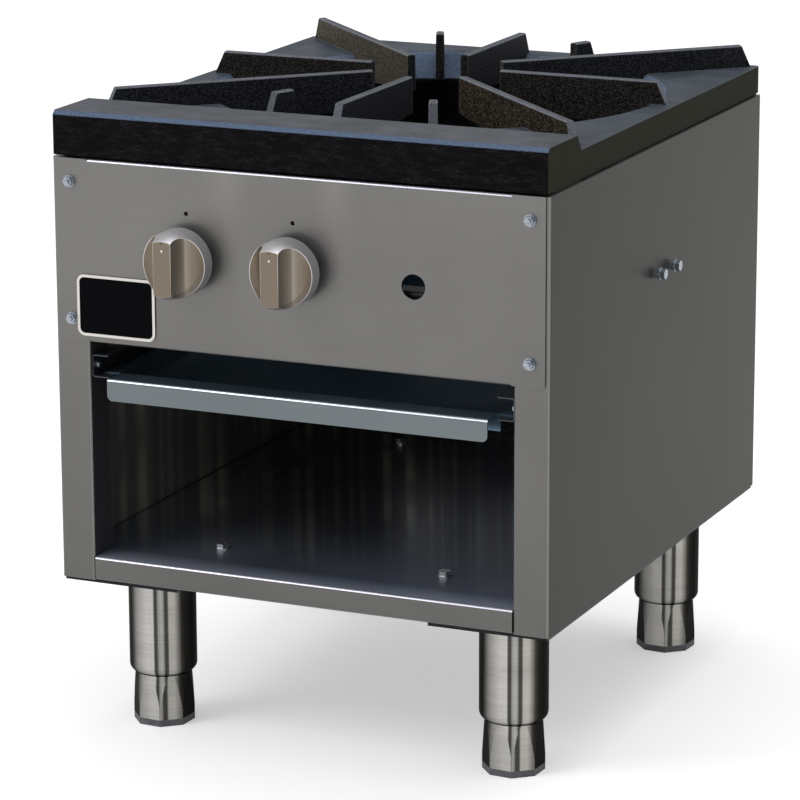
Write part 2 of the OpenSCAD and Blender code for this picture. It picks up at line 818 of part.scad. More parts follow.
module outer_mixing_tube() { mixing_tube(outer_x, outer_riser_y); }
module inner_mixing_tube() { mixing_tube(inner_x, inner_riser_y); }

// Air shutters turn on the hood's axis in front of the mouth
shutter_screw_d = 3;
shutter_head_d = 8;
shutter_head_h = 2;
shutter_bend = 6;
shutter_tab_w = 10;
module at_shutter_screw() {
    rotate([0, 45, 0]) translate([0, 0, (mouth_r + shutter_r) / 2]) rotate([90, 0, 0]) children();
}
module air_shutter(x) {
    y = mouth_y - fit - shutter_t;
    color("silver") translate([x, y, valve_z]) {
        difference() {
            along_y() cylinder(r = shutter_r, h = shutter_t);
            along_y() windows();
            along_y() translate([0, 0, -over]) cylinder(r = hub_r, h = shutter_t + 2 * over);
        }
        block([-shutter_tab_w / 2, -shutter_bend, -shutter_r + over],
            [shutter_tab_w / 2, over, -shutter_r + over + shutter_t]);
    }
}
module outer_air_shutter() { air_shutter(outer_x); }
module inner_air_shutter() { air_shutter(inner_x); }
module shutter_screws() {
    color("silver") for (x = [outer_x, inner_x])
        translate([x, mouth_y, valve_z]) at_shutter_screw() {
            cylinder(d = shutter_screw_d, h = shutter_t + 2 * fit + shutter_head_h);
            translate([0, 0, -mouth_t + over]) cylinder(d = shutter_screw_d, h = mouth_t);
            translate([0, 0, shutter_t + 2 * fit]) cylinder(d = shutter_head_d, h = shutter_head_h);
        }
}

// Gas valves hang under the manifold, with the orifice hoods behind them
valve_setback = 10.5;
valve_y = -half_d + valve_setback;
valve_back = valve_y + valve_len;
manifold_y = -half_d + manifold_setback;
pipe_r = pipe_d / 2;
manifold_z = supply_z;
inlet_stub_r = 4.9;
pilot_stub_r = 2.5;
bonnet_len = 10;
bonnet_af = 15;
stem_len_in = 14;
module gas_valve(x) {
    color("goldenrod") translate([x, 0, valve_z]) difference() {
        union() {
            translate([0, valve_y + bonnet_len, 0]) along_y() cylinder(d = valve_d,
                h = valve_len - bonnet_len);
            translate([0, valve_y, 0]) along_y() hex(bonnet_af, bonnet_len + over);
            translate([0, manifold_y, 0]) cylinder(r = inlet_stub_r, h = manifold_z - valve_z - pipe_r / 2);
        }
        translate([0, valve_y - over, 0]) along_y() cylinder(d = valve_stem_d + 2 * thread_fit,
            h = stem_len_in + over);
    }
}
module outer_gas_valve() { gas_valve(outer_x); }
module inner_gas_valve() { gas_valve(inner_x); }

hood_af = 14;
hood_hex_len = 13;
hood_r = 6;
hood_len = 26;
orifice_d = 2.6;
module orifice_hood(x) {
    color("gold") translate([x, valve_back, valve_z]) difference() {
        union() {
            along_y() hex(hood_af, hood_hex_len);
            along_y() cylinder(r = hood_r, h = hood_len);
        }
        along_y() translate([0, 0, -over]) cylinder(d = orifice_d, h = hood_len + 2 * over, $fn = 24);
    }
}
module outer_orifice_hood() { orifice_hood(outer_x); }
module inner_orifice_hood() { orifice_hood(inner_x); }

// Valve stems reach from the valves into the knobs
stem_into_knob = 22;
module valve_stem(x) {
    y1 = panel_front - knob_gap - stem_into_knob;
    y2 = valve_y + stem_len_in - fit;
    color("silver") translate([x, y1, valve_z]) along_y() cylinder(d = valve_stem_d, h = y2 - y1);
}
module outer_valve_stem() { valve_stem(outer_x); }
module inner_valve_stem() { valve_stem(inner_x); }

// Knobs: a turned body with two hollows that leave a grip bar
knob_cavity = 6;
knob_hub_d = 20;
knob_wall = 3;
knob_crown = 1.6;
crown_steps = 8;
module knob(x) {
    r = knob_d / 2;
    shoulder = knob_gap + knob_side;
    rim = [r, shoulder];
    front = [knob_front_d / 2, knob_reach];
    crown = [
        for (i = [0:crown_steps])
            let (t = i / crown_steps)
            rim + t * (front - rim) + 4 * t * (1 - t) * knob_crown * left_of(unit(rim - front))
    ];
    profile = concat([[0, knob_gap], [r, knob_gap]], crown, [[0, knob_reach]]);
    color("silver") translate([x, panel_front, valve_z]) rotate([90, 0, 0]) difference() {
        rotate_extrude() polygon(profile);
        for (s = [-1, 1])
            translate([s * (grip_w / 2 + scoop_r), r + over, knob_reach]) rotate([90, 0, 0])
                cylinder(r = scoop_r, h = knob_d + 2 * over);
        translate([0, 0, knob_gap - over]) cylinder(d = valve_stem_d + 2 * thread_fit,
            h = stem_into_knob + fit + over);
        translate([0, 0, knob_gap - over]) difference() {
            cylinder(r = r - knob_wall, h = knob_cavity + over);
            cylinder(d = knob_hub_d, h = knob_cavity + over);
        }
    }
}
module outer_knob() { knob(outer_x); }
module inner_knob() { knob(inner_x); }

// Manifold, closed at its left end, with drilled holes for the valves
manifold_end = 32;
cap_len = 8;
elbow_r = 14;
elbow_bend_r = 18;
elbow_socket = 9;
module manifold_pipe() {
    x1 = outer_x - manifold_end;
    x2 = supply_x - elbow_bend_r - fit;
    color("darkslategray") translate([0, manifold_y, manifold_z]) difference() {
        translate([x1, 0, 0]) rotate([0, 90, 0]) cylinder(r = pipe_r, h = x2 - x1);
        translate([x1 + cap_len, 0, 0]) rotate([0, 90, 0]) cylinder(r = pipe_r - pipe_wall, h = x2 - x1);
        for (x = [outer_x, inner_x]) {
            translate([x, 0, -pipe_d]) cylinder(r = inlet_stub_r + thread_fit, h = pipe_d);
            translate([x, 0, 0]) cylinder(r = pilot_stub_r + thread_fit, h = pipe_d);
        }
    }
}
// Brackets from the front cross rail to the manifold
bracket_w = 16;
bracket_d = 18;
bracket_t = 2.5;
bracket_clear = 36;
module manifold_brackets() {
    z2 = manifold_z - pipe_r / 2;
    color("silver") for (x = [(outer_x + inner_x) / 2, inner_x + 2 * bracket_clear])
        difference() {
            union() {
                block([x - bracket_t / 2, manifold_y - bracket_d / 2, cross_top],
                    [x + bracket_t / 2, manifold_y + bracket_d / 2, z2]);
                block([x - bracket_t / 2, manifold_y - bracket_d / 2, cross_top],
                    [x + bracket_w, manifold_y, cross_top + bracket_t]);
            }
            translate([x - bracket_w, manifold_y, manifold_z]) rotate([0, 90, 0])
                cylinder(r = pipe_r + fit, h = 2 * bracket_w);
        }
}

// Elbow at the manifold's right end: a bent middle with a collar at each end
module pipe_elbow() {
    socket = pipe_r + thread_fit;
    color("dimgray") translate([supply_x - elbow_bend_r, manifold_y + elbow_bend_r, manifold_z])
        difference() {
        union() {
            rotate([0, 0, -90]) rotate_extrude(angle = 90) translate([elbow_bend_r, 0])
                circle(elbow_r - over);
            translate([elbow_bend_r, 0, 0]) along_y() cylinder(r = elbow_r, h = elbow_socket);
            translate([0, -elbow_bend_r, 0]) rotate([0, -90, 0]) cylinder(r = elbow_r, h = elbow_socket);
        }
        rotate([0, 0, -90]) rotate_extrude(angle = 90) translate([elbow_bend_r, 0])
            circle(pipe_r - pipe_wall);
        translate([elbow_bend_r, 0, 0]) along_y() cylinder(r = socket, h = elbow_socket + over);
        translate([0, -elbow_bend_r, 0]) rotate([0, -90, 0]) cylinder(r = socket, h = elbow_socket + over);
    }
}
inlet_inside = 46;
coupling_r = 18;
coupling_len = 30;
inlet_socket = 12;
inlet_back = half_d - inlet_inside;
module tube(r, wall, length) {
    difference() {
        cylinder(r = r, h = length);
        translate([0, 0, -over]) cylinder(r = r - wall, h = length + 2 * over);
    }
}
module supply_pipe() {
    y1 = manifold_y + elbow_bend_r + fit;
    y2 = inlet_back + inlet_socket;
    color("darkslategray") translate([supply_x, y1, supply_z]) along_y() tube(pipe_r, pipe_wall, y2 - y1);
}
// Inlet: a coupling inside the back panel and a nipple through it
module inlet_nipple() {
    y2 = inlet_end - inlet_back;
    color("darkslategray") translate([supply_x, inlet_back, supply_z]) along_y() difference() {
        union() {
            cylinder(r = coupling_r, h = coupling_len);
            cylinder(d = inlet_d, h = y2);
        }
        translate([0, 0, -over]) cylinder(r = pipe_r + thread_fit, h = inlet_socket + fit + over);
        cylinder(r = pipe_r - pipe_wall, h = y2 + over);
    }
}

// Pilot valves on the manifold, their screws in line with the panel's small holes
pilot_valve_d = 10;
pilot_valve_len = 24;
pilot_screw_d = 3.4;
pilot_front_gap = 3;
module pilot_valve(x) {
    y1 = manifold_y - pilot_valve_len / 2;
    color("goldenrod") translate([x, 0, pilot_z]) {
        translate([0, y1, 0]) along_y() cylinder(d = pilot_valve_d, h = pilot_valve_len);
        translate([0, -half_d + pilot_front_gap, 0]) along_y() cylinder(d = pilot_screw_d, h = y1 + half_d);
        translate([0, manifold_y, manifold_z - pilot_z + pipe_r / 2])
            cylinder(r = pilot_stub_r, h = pilot_z - manifold_z - pipe_r / 2);
    }
}
module outer_pilot_valve() { pilot_valve(outer_x); }
module inner_pilot_valve() { pilot_valve(inner_x); }

// Pilot tubes run back, dip under the rings and end at the pilot tips
pilot_low_z = ring_z - pilot_d / 2 - 3 * over / 2;
pilot_dip_y = mouth_y + mouth_len;
tip_gap = 12;
outer_tip_y = outer_riser_y - boss_r - 2 * tip_gap + over;
inner_tip_y = burner_y - mid_ring_r - tip_gap + over;
tip_r = 5;
tip_h = 27;
tip_drop = 4.3;
bend_bulge = 0.3;
module run_between(a, b) {
    v = b - a;
    translate(a) rotate([0, acos(v[2] / norm(v)), atan2(v[1], v[0])]) cylinder(d = pilot_d, h = norm(v));
}
module pilot_tube(x, tip_y) {
    start = [x, manifold_y + pilot_valve_len / 2, pilot_z];
    points = [
        start, [x, pilot_dip_y, pilot_z], [x, pilot_dip_y, pilot_low_z], [x, tip_y - tip_r, pilot_low_z]
    ];
    color("silver") {
        for (i = [0:len(points) - 2]) run_between(points[i], points[i + 1]);
        for (i = [1:len(points) - 2]) translate(points[i]) sphere(d = pilot_d + bend_bulge);
    }
}
module outer_pilot_tube() { pilot_tube(outer_x, outer_tip_y); }
module inner_pilot_tube() { pilot_tube(inner_x, inner_tip_y); }
strap_t = 1.5;
strap_w = 8;
strap_len = 22;
tip_bore_r = 1.5;
module pilot_tip(x, y) {
    z1 = pilot_low_z - tip_drop;
    strap_z = ring_z - fit - strap_t;
    color("silver") difference() {
        union() {
            translate([x, y, z1]) cylinder(r = tip_r, h = tip_h);
            block([x - tip_r, y - tip_r, z1], [x + tip_r, y, z1 + 2 * tip_r]);
            block([x - strap_w / 2, y, strap_z], [x + strap_w / 2, y + strap_len, strap_z + strap_t]);
        }
        translate([x, y, z1 + tip_r]) cylinder(r = tip_bore_r, h = tip_h, $fn = 16);
    }
}
module outer_pilot_tip() { pilot_tip(outer_x, outer_tip_y); }
module inner_pilot_tip() { pilot_tip(inner_x, inner_tip_y); }

// Top grate: one casting with a raised front band, a round sloped opening and radial fingers
grate_x = half_w - grate_inset;
grate_front = -half_d - grate_over;
grate_back = half_d + grate_over;
grate_z = cab_top + grate_gap;
rail_top = grate_z + rail_h;
finger_top = rail_top + finger_rise;
opening_r = min(grate_x, grate_back - burner_y, burner_y - grate_front - band_d) - rail_side_w;
finger_side = grate_x - finger_side_gap;
finger_front = burner_y - grate_front - band_d - finger_front_gap;
finger_rear = grate_back - burner_y - finger_rear_gap;
finger_corner = (grate_x - finger_corner_gap) * sqrt(2);
stub_in = opening_r - stub_reach;
stub_out = stub_in + stub_top;
grate_wall = 9;
grate_corner_r = 4;
opening_lip = 2;
finger_draft = 1.2;
finger_chamfer = 1.1;
end_slant = 10;
stub_slant = 8;
module grate_opening() {
    a = 90 + opening_angle;
    round_z = rail_h - opening_round;
    edge = arc(opening_r, round_z, opening_round, 90, a);
    low = edge[len(edge) - 1];
    low_r = low[0] - (low[1] - opening_lip) / tan(opening_angle);
    outline = concat(
        [[0, rail_h + over], [opening_r, rail_h + over]], edge,
        [[low_r, opening_lip], [low_r, -over], [0, -over]]
    );
    translate([0, burner_y, grate_z]) rotate_extrude($fn = 128) polygon(outline);
}
module front_band() {
    top = grate_front + band_d;
    outline = [
        [grate_front, 0], [grate_front, band_h - band_bevel], [grate_front + band_bevel, band_h],
            [top, band_h],
        [top + band_step, rail_h - opening_lip], [top + band_step, 0]
    ];
    translate([-grate_x, 0, grate_z]) along_x() linear_extrude(2 * grate_x) polygon(outline);
}
// One finger along +X from the opening's centre: its side view cut by its tapered section
module finger(inner, outer, slant, depth) {
    side = [
        [inner, finger_top], [outer, finger_top], [outer + slant, rail_top - over],
        [outer + slant, rail_top - 2 * over], [opening_r, rail_top - 2 * over],
        [opening_r - end_slant, grate_z + opening_lip + over], [inner, finger_top - depth]
    ];
    top_x = finger_t / 2;
    low_x = top_x + finger_draft / 2;
    section = [
        [-low_x, grate_z], [low_x, grate_z], [top_x, finger_top - finger_chamfer],
            [top_x - finger_chamfer, finger_top],
        [finger_chamfer - top_x, finger_top], [-top_x, finger_top - finger_chamfer]
    ];
    translate([0, burner_y, 0]) intersection() {
        translate([0, finger_t, 0]) rotate([90, 0, 0]) linear_extrude(2 * finger_t) polygon(side);
        along_x() linear_extrude(outer + 2 * slant) polygon(section);
    }
}
function finger_reach(a) =
    a % 90 != 0 ? finger_corner : a == 90 ? finger_rear : a == 270 ? finger_front : finger_side;
module turned(a) { translate([0, burner_y, 0]) rotate([0, 0, a]) translate([0, -burner_y, 0]) children(); }
finger_angles = [0:45:315];
stub_angles = [67.5, 112.5, 247.5, 292.5];
grate_pad_w = 14;
front_pad_d = 53;
rear_pad_d = 12;
module grate_pads(y, d) {
    for (x = [-1, 1]) translate([x * (grate_x - grate_pad_w / 2) - grate_pad_w / 2, y, cab_top])
        cube([grate_pad_w, d, grate_gap + over]);
}
module top_grate() {
    square_front = grate_front + band_d;
    color([0.15, 0.15, 0.16]) {
        difference() {
            union() {
                front_band();
                translate([-grate_x, square_front, grate_z]) linear_extrude(rail_h) {
                    square([2 * grate_x, grate_corner_r * 2]);
                    round_rect(2 * grate_x, grate_back - square_front, grate_corner_r);
                }
            }
            grate_opening();
            block(
                [-grate_x + grate_wall, grate_front + grate_wall, grate_z - over],
                [grate_x - grate_wall, square_front - grate_wall / 2, grate_z + rail_h]
            );
            difference() {
                block(
                    [-grate_x + grate_wall, square_front + grate_wall / 2, grate_z - over],
                    [grate_x - grate_wall, grate_back - grate_wall, grate_z + rail_h - grate_wall]
                );
                translate([0, burner_y, grate_z - 2 * over]) cylinder(r = opening_r, h = band_h);
            }
        }
        for (a = finger_angles) turned(a) finger(finger_in, finger_reach(a), end_slant, finger_depth);
        for (a = stub_angles) turned(a) finger(stub_in, stub_out, stub_slant,
            finger_top - grate_z - opening_lip);
        grate_pads(grate_front + 2 * grate_wall, front_pad_d);
        grate_pads(grate_back - grate_wall - rear_pad_d, rear_pad_d);
    }
}

// Legs: a tube with a plug at each end, a stud at its top and a threaded hole at its bottom
leg_top = cab_z - rail_t;
leg_bottom = foot_h;
plug_h = 14;
cap_h = 10;
stud_len = 22;
stem_len = 60;
module leg() {
    r = leg_d / 2;
    in_r = r - leg_wall;
    outline = concat(
        [[stem_d / 2 + thread_fit, leg_bottom]],
        arc(r - leg_round, leg_bottom + leg_round, leg_round, -90, 0),
        [[r, leg_top], [leg_stud_d / 2, leg_top], [leg_stud_d / 2, leg_top + stud_len],
            [0, leg_top + stud_len]],
        [[0, leg_top - cap_h], [in_r, leg_top - cap_h], [in_r, leg_bottom + plug_h]],
        [[stem_d / 2 + thread_fit, leg_bottom + plug_h]]
    );
    translate([leg_x, leg_y, 0]) rotate_extrude() polygon(outline);
}
module corner(sx, sy) {
    mirror([sx < 0 ? 1 : 0, 0, 0]) mirror([0, sy < 0 ? 1 : 0, 0]) children();
}
module leg_front_left() { color("silver") corner(-1, -1) leg(); }
module leg_front_right() { color("silver") corner(1, -1) leg(); }
module leg_rear_left() { color("silver") corner(-1, 1) leg(); }
module leg_rear_right() { color("silver") corner(1, 1) leg(); }

// Feet: a round top that runs out into eight flats, with a stem into the leg
foot_turn = 19;
foot_sides = 8;
module foot(sx, sy) {
    round_d = foot_corner_d + over;
    color("silver") translate([sx * leg_x, sy * leg_y, 0]) {
        intersection() {
            translate([0, 0, pad_h]) rotate([0, 0, foot_turn])
                cylinder(d = foot_corner_d, h = foot_h, $fn = foot_sides);
            translate([0, 0, pad_h]) cylinder(d1 = round_d, d2 = foot_top_d, h = foot_h - pad_h - fit);
        }
        translate([0, 0, foot_h / 2]) cylinder(d = stem_d, h = foot_h / 2 + stem_len);
    }
}
module foot_front_left() { foot(-1, -1); }
module foot_front_right() { foot(1, -1); }
module foot_rear_left() { foot(-1, 1); }
module foot_rear_right() { foot(1, 1); }
module pad(sx, sy) {
    color("dimgray") translate([sx * leg_x, sy * leg_y, 0]) rotate([0, 0, foot_turn])
        cylinder(d = foot_corner_d, h = pad_h, $fn = foot_sides);
}
module pad_front_left() { pad(-1, -1); }
module pad_front_right() { pad(1, -1); }
module pad_rear_left() { pad(-1, 1); }
module pad_rear_right() { pad(1, 1); }

// Fasteners, each kind in one node
nut_af = 19;
nut_h = 10;
module leg_nuts() {
    color("silver") four_corners() translate([leg_x, leg_y, cab_z]) difference() {
        hex(nut_af, nut_h);
        translate([0, 0, -over]) cylinder(d = leg_stud_d + 2 * thread_fit, h = nut_h + 2 * over);
    }
}
module floor_bolts() {
    color("silver") at_floor_bolts() {
        fastener(floor_bolt_d, floor_bolt_len, floor_flange_d, floor_flange_h, floor_head_af, floor_head_h);
        translate([0, 0, -sheet_t - rail_t - floor_nut_h]) hex(floor_head_af, floor_nut_h);
    }
}
module side_bolts() {
    color("silver") at_side_bolts() {
        translate([0, 0, -side_bolt_len]) cylinder(d = side_bolt_d, h = side_bolt_len + over);
        cylinder(d = side_collar_d, h = side_collar_h);
        translate([0, 0, side_collar_h]) cylinder(d = side_flange_d, h = side_flange_h);
        translate([0, 0, side_collar_h + side_flange_h]) hex(side_head_af, side_head_h);
        translate([0, 0, -sheet_t - support_t - floor_nut_h]) hex(floor_head_af, floor_nut_h);
    }
}
module panel_screws() {
    color("silver") at_panel_screws() {
        fastener(panel_screw_d, panel_screw_len, panel_flange_d, panel_flange_h, panel_head_af, panel_head_h);
        cylinder(d = panel_stud_d, h = panel_flange_h + panel_head_h + panel_stud_h);
    }
}
module runner_screws() {
    color("silver") at_runner_screws()
        fastener(runner_screw_d, runner_screw_len, runner_head_d, runner_head_h, runner_head_af,
            runner_hex_h);
}
module back_screws() {
    color("silver") at_back_screws()
        fastener(back_screw_d, back_screw_len, back_head_d, back_head_h, back_head_af, back_hex_h);
}

side_panel_left();
side_panel_right();
back_panel();
floor_panel();
control_panel();
name_plate();
front_cross_rail();
rear_cross_rail();
base_rail_left();
base_rail_right();
tray_runner_left();
tray_runner_right();
drip_tray();
burner_support();
outer_burner();
inner_burner();
outer_mixing_tube();
inner_mixing_tube();
outer_air_shutter();
inner_air_shutter();
shutter_screws();
outer_orifice_hood();
inner_orifice_hood();
outer_gas_valve();
inner_gas_valve();
outer_valve_stem();
inner_valve_stem();
outer_knob();
inner_knob();
manifold_pipe();
manifold_brackets();
pipe_elbow();
supply_pipe();
inlet_nipple();
outer_pilot_valve();
inner_pilot_valve();
outer_pilot_tube();
inner_pilot_tube();
outer_pilot_tip();
inner_pilot_tip();
top_grate();
leg_front_left();
leg_front_right();
leg_rear_left();
leg_rear_right();
foot_front_left();
foot_front_right();
foot_rear_left();
foot_rear_right();
pad_front_left();
pad_front_right();
pad_rear_left();
pad_rear_right();
leg_nuts();
floor_bolts();
side_bolts();
panel_screws();
runner_screws();
back_screws();
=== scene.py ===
"""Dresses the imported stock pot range: finishes, studio floor, light and camera."""
import json
import math

import bpy
from mathutils import Matrix, Vector


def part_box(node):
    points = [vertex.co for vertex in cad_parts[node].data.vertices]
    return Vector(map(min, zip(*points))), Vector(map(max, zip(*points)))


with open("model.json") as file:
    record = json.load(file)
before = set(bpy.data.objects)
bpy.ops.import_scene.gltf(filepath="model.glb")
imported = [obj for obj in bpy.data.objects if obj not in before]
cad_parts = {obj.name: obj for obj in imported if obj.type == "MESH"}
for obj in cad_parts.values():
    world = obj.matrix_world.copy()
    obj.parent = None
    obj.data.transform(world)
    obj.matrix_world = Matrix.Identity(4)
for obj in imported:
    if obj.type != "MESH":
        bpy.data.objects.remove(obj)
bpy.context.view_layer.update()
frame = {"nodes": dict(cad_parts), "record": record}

MM = 0.001
NODES = frame["nodes"]
RECORD = frame["record"]

# Camera, solved from the cabinet's corners in the photograph
CAMERA_AZIMUTH = math.radians(24.01)
CAMERA_ELEVATION = math.radians(14.36)
CAMERA_ROLL = math.radians(-0.21)
CAMERA_DISTANCE = 3.5383
CAMERA_RIGHT = -0.0191
CAMERA_UP = -0.0641
CAMERA_TARGET = Vector((0, 0, 0.3315))
CAMERA_LENS = 177.19
CAMERA_SENSOR = 36
CAMERA_REACH = 50

# Places on the object that masks need, from the frame
PANEL_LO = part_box("control_panel")[0]
PLATE_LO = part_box("name_plate")[0]
SIDE_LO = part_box("side_panel_right")[0]
FLOOR_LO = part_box("floor_panel")[0]
TRAY_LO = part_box("drip_tray")[0]
GRATE_LO, GRATE_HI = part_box("top_grate")
KNOB_LO, KNOB_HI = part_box("outer_knob")
KNOB_R = (KNOB_HI.x - KNOB_LO.x) / 2
STEMS = [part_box("outer_valve_stem"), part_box("inner_valve_stem")]
KNOBS = [((lo.x + hi.x) / 2, (lo.z + hi.z) / 2) for lo, hi in STEMS]
FOOT_LO, FOOT_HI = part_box("foot_front_right")
FOOT_X = (FOOT_LO.x + FOOT_HI.x) / 2
FEET_FRONT = (FOOT_LO.y + FOOT_HI.y) / 2
FEET_REAR = sum(v.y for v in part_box("foot_rear_right")) / 2

# Control panel and stiles: painted shade that darkens them to the bottom, and a painted sheen, a
# painted reflection, to the right of each knob
FADE_TOP = PANEL_LO.z + 60 * MM
FADE_SHARE = 0.7
SHEEN_SHIFT = 38 * MM
SHEEN_HALF = 22 * MM
SHEEN_LOW = PANEL_LO.z + 80 * MM
SHEEN_HIGH = PANEL_LO.z + 170 * MM

# Inside of the cabinet: where the inner faces start, where the stiles' returns end, how the floor's
# painted light changes from its front edge to the rear, where its painted reflection streaks meet,
# and the seam on its left
INNER_SETBACK = 3 * MM
RETURN_END = SIDE_LO.y + 30 * MM
RETURN_FADE = SIDE_LO.y + 45 * MM
SILL_BEND = 2 * MM
SILL_GLOW = FLOOR_LO.y + 32 * MM
FRONT_TONE = FLOOR_LO.y + 20 * MM
DEEP_TONE = -0.06
FAN_X, FAN_Y = 1.38, -3.12
SEAM_IN, SEAM_OUT = 2 * MM, 3.2 * MM

# Grate: the height of its low tops, the depth of its outer faces, the radii of its soft edges and
# of its edges' painted highlights, and the stretch over which its faces' painted warm light changes
GRATE_TOP = GRATE_LO.z + 26.5 * MM
GRATE_SKIN = 9 * MM
GRATE_ROUND = 0.9 * MM
GRATE_HIGHLIGHT_RADIUS = 0.7 * MM
WARM_FROM, WARM_TO = -0.02, 0.07

# Tray: how far back its lip's face and its front bend, which carries a painted glint, reach
LIP_FACE = 1.5 * MM
LIP_BEND = 6 * MM

# Knobs: how far back grip and skirt reach, the skirt's edge and its painted highlight, and the
# index mark's line and dots
GRIP_BACK = KNOB_LO.y + 4 * MM
SKIRT_BACK = KNOB_LO.y + 22 * MM
SKIRT_SKIN = 0.6 * MM
SKIRT_EDGE = 0.8 * MM
MARK_Z = KNOB_R - 6.8 * MM
LINE_Z = MARK_Z - 2.8 * MM
LOW_DOT_Z = MARK_Z - 6.5 * MM
DARK_DOT_R = 0.8 * MM
PALE_DOT_R = 1.0 * MM

# Legs: the way their bright painted reflection bands face, the bands' shift in half turns, and how
# much a metre off the leg's axis counts beside the normal
BAND_TURN = math.radians(24)
BAND_SHIFT = 1.5
PLACE_WEIGHT = 90.0

# Ranges of a noise that are spread over two tones
WIDE = (0.3, 0.7)
MIDDLE = (0.35, 0.65)

BLACK = (0, 0, 0)
WHITE = (1, 1, 1)

# The world's light on all but what camera, metal and glass see
WORLD_LEVEL = 0.55


class Shader:
    """A node material in the making: small calls that return sockets."""

    def __init__(self, name):
        self.material = bpy.data.materials.new(name)
        self.material.use_nodes = True
        self.tree = self.material.node_tree
        self.bsdf = self.tree.nodes["Principled BSDF"]
        coord = self.node("ShaderNodeTexCoord")
        self.coord = coord.outputs["Object"]
        self.x, self.y, self.z = self.split(self.coord)
        self.nx, self.ny, self.nz = self.split(coord.outputs["Normal"])

    def node(self, kind, **settings):
        made = self.tree.nodes.new(kind)
        for key, value in settings.items():
            setattr(made, key, value)
        return made

    def feed(self, socket, value):
        if isinstance(value, bpy.types.NodeSocket):
            self.tree.links.new(value, socket)
        else:
            socket.default_value = value

    def split(self, vector):
        made = self.node("ShaderNodeSeparateXYZ")
        self.feed(made.inputs[0], vector)
        return made.outputs

    def set(self, **values):
        """Sets constants on the surface shader; a name's underscores stand for spaces."""
        for key, value in values.items():
            self.bsdf.inputs[key.replace("_", " ")].default_value = value

    def link(self, name, socket):
        self.tree.links.new(socket, self.bsdf.inputs[name])

    def scaled(self, scale):
        mapping = self.node("ShaderNodeMapping")
        self.feed(mapping.inputs["Vector"], self.coord)
        mapping.inputs["Scale"].default_value = scale
        return mapping.outputs["Vector"]

    def noise(self, vector, scale=1.0, detail=3.0, roughness=0.5):
        made = self.node("ShaderNodeTexNoise")
        self.feed(made.inputs["Vector"], vector)
        made.inputs["Scale"].default_value = scale
        made.inputs["Detail"].default_value = detail
        made.inputs["Roughness"].default_value = roughness
        return made.outputs["Fac"]

    def wander(self, value, scale):
        """Noise along one coordinate."""
        made = self.node("ShaderNodeTexNoise", noise_dimensions="1D")
        self.feed(made.inputs["W"], value)
        made.inputs["Scale"].default_value = scale
        made.inputs["Detail"].default_value = 1.5
        return made.outputs["Fac"]

    def math(self, operation, a, b=0.0):
        made = self.node("ShaderNodeMath", operation=operation)
        self.feed(made.inputs[0], a)
        self.feed(made.inputs[1], b)
        return made.outputs[0]

    def less(self, a, b):
        return self.math("LESS_THAN", a, b)

    def more(self, a, b):
        return self.math("GREATER_THAN", a, b)

    def plus(self, a, b):
        return self.math("ADD", a, b)

    def minus(self, a, b):
        return self.math("SUBTRACT", a, b)

    def times(self, a, b):
        return self.math("MULTIPLY", a, b)

    def size(self, value):
        return self.math("ABSOLUTE", value)

    def length(self, a, b):
        """Length of a flat vector."""
        return self.math("SQRT", self.plus(self.times(a, a), self.times(b, b)))

    def every(self, *masks):
        """1 where each mask is 1."""
        made = masks[0]
        for mask in masks[1:]:
            made = self.times(made, mask)
        return made

    def span(self, value, low, high, to_low=0.0, to_high=1.0):
        """Maps low..high onto to_low..to_high, held at the ends."""
        made = self.node("ShaderNodeMapRange", clamp=True)
        self.feed(made.inputs["Value"], value)
        ends = (("From Min", low), ("From Max", high), ("To Min", to_low), ("To Max", to_high))
        for name, number in ends:
            made.inputs[name].default_value = number
        return made.outputs["Result"]

    def mix(self, fac, a, b):
        made = self.node("ShaderNodeMix", data_type="RGBA")
        self.feed(made.inputs["Factor"], fac)
        self.feed(made.inputs["A"], (*a, 1) if isinstance(a, tuple) else a)
        self.feed(made.inputs["B"], (*b, 1) if isinstance(b, tuple) else b)
        return made.outputs["Result"]

    def tones(self, value, low, high, ends=WIDE):
        """Two colours over a range of a noise."""
        return self.mix(self.span(value, *ends), low, high)

    def ramp(self, value, stops):
        """Colours along a value: stops are (place, colour), from 0 to 1."""
        made = self.node("ShaderNodeValToRGB")
        points = made.color_ramp.elements
        for place, _ in stops[2:]:
            points.new(place)
        for point, (place, colour) in zip(points, stops):
            point.position = place
            point.color = (*colour, 1)
        self.feed(made.inputs["Fac"], value)
        return made.outputs["Color"]

    def bump(self, height, distance, strength, under=None):
        made = self.node("ShaderNodeBump")
        self.feed(made.inputs["Height"], height)
        made.inputs["Distance"].default_value = distance
        made.inputs["Strength"].default_value = strength
        if under:
            self.feed(made.inputs["Normal"], under)
        return made.outputs["Normal"]

    def rounded(self, radius):
        """The normal with every edge rounded to a radius."""
        made = self.node("ShaderNodeBevel", samples=4)
        made.inputs["Radius"].default_value = radius
        return made.outputs["Normal"]

    def edges(self, radius):
        """1 along edges, where painted edge highlights go."""
        made = self.node("ShaderNodeVectorMath", operation="DOT_PRODUCT")
        self.feed(made.inputs[0], self.rounded(radius))
        self.feed(made.inputs[1], self.node("ShaderNodeNewGeometry").outputs["Normal"])
        return self.span(made.outputs["Value"], 0.99, 0.93)


def srgb(r, g, b):
    """The linear colour of an sRGB colour given as 0 to 255."""

    def linear(v):
        return v / 255 / 12.92 if v <= 10 else ((v / 255 + 0.055) / 1.055) ** 2.4

    return linear(r), linear(g), linear(b)


def brushed(s, low, high, grain, along="x"):
    """Brushed sheet: the colour, its fine lines along one axis, and the soft clouds under them."""
    fine, coarse = 2600, 14
    stretch = tuple(coarse if axis == along else fine for axis in "xyz")
    lines = s.noise(s.scaled(stretch), 1.0, 2.0, 0.6)
    clouds = s.noise(s.scaled((4, 4, 4)), 1.0, 3.0, 0.55)
    tone = s.plus(s.times(lines, grain), s.times(clouds, 1 - grain))
    return s.tones(tone, low, high), lines, clouds


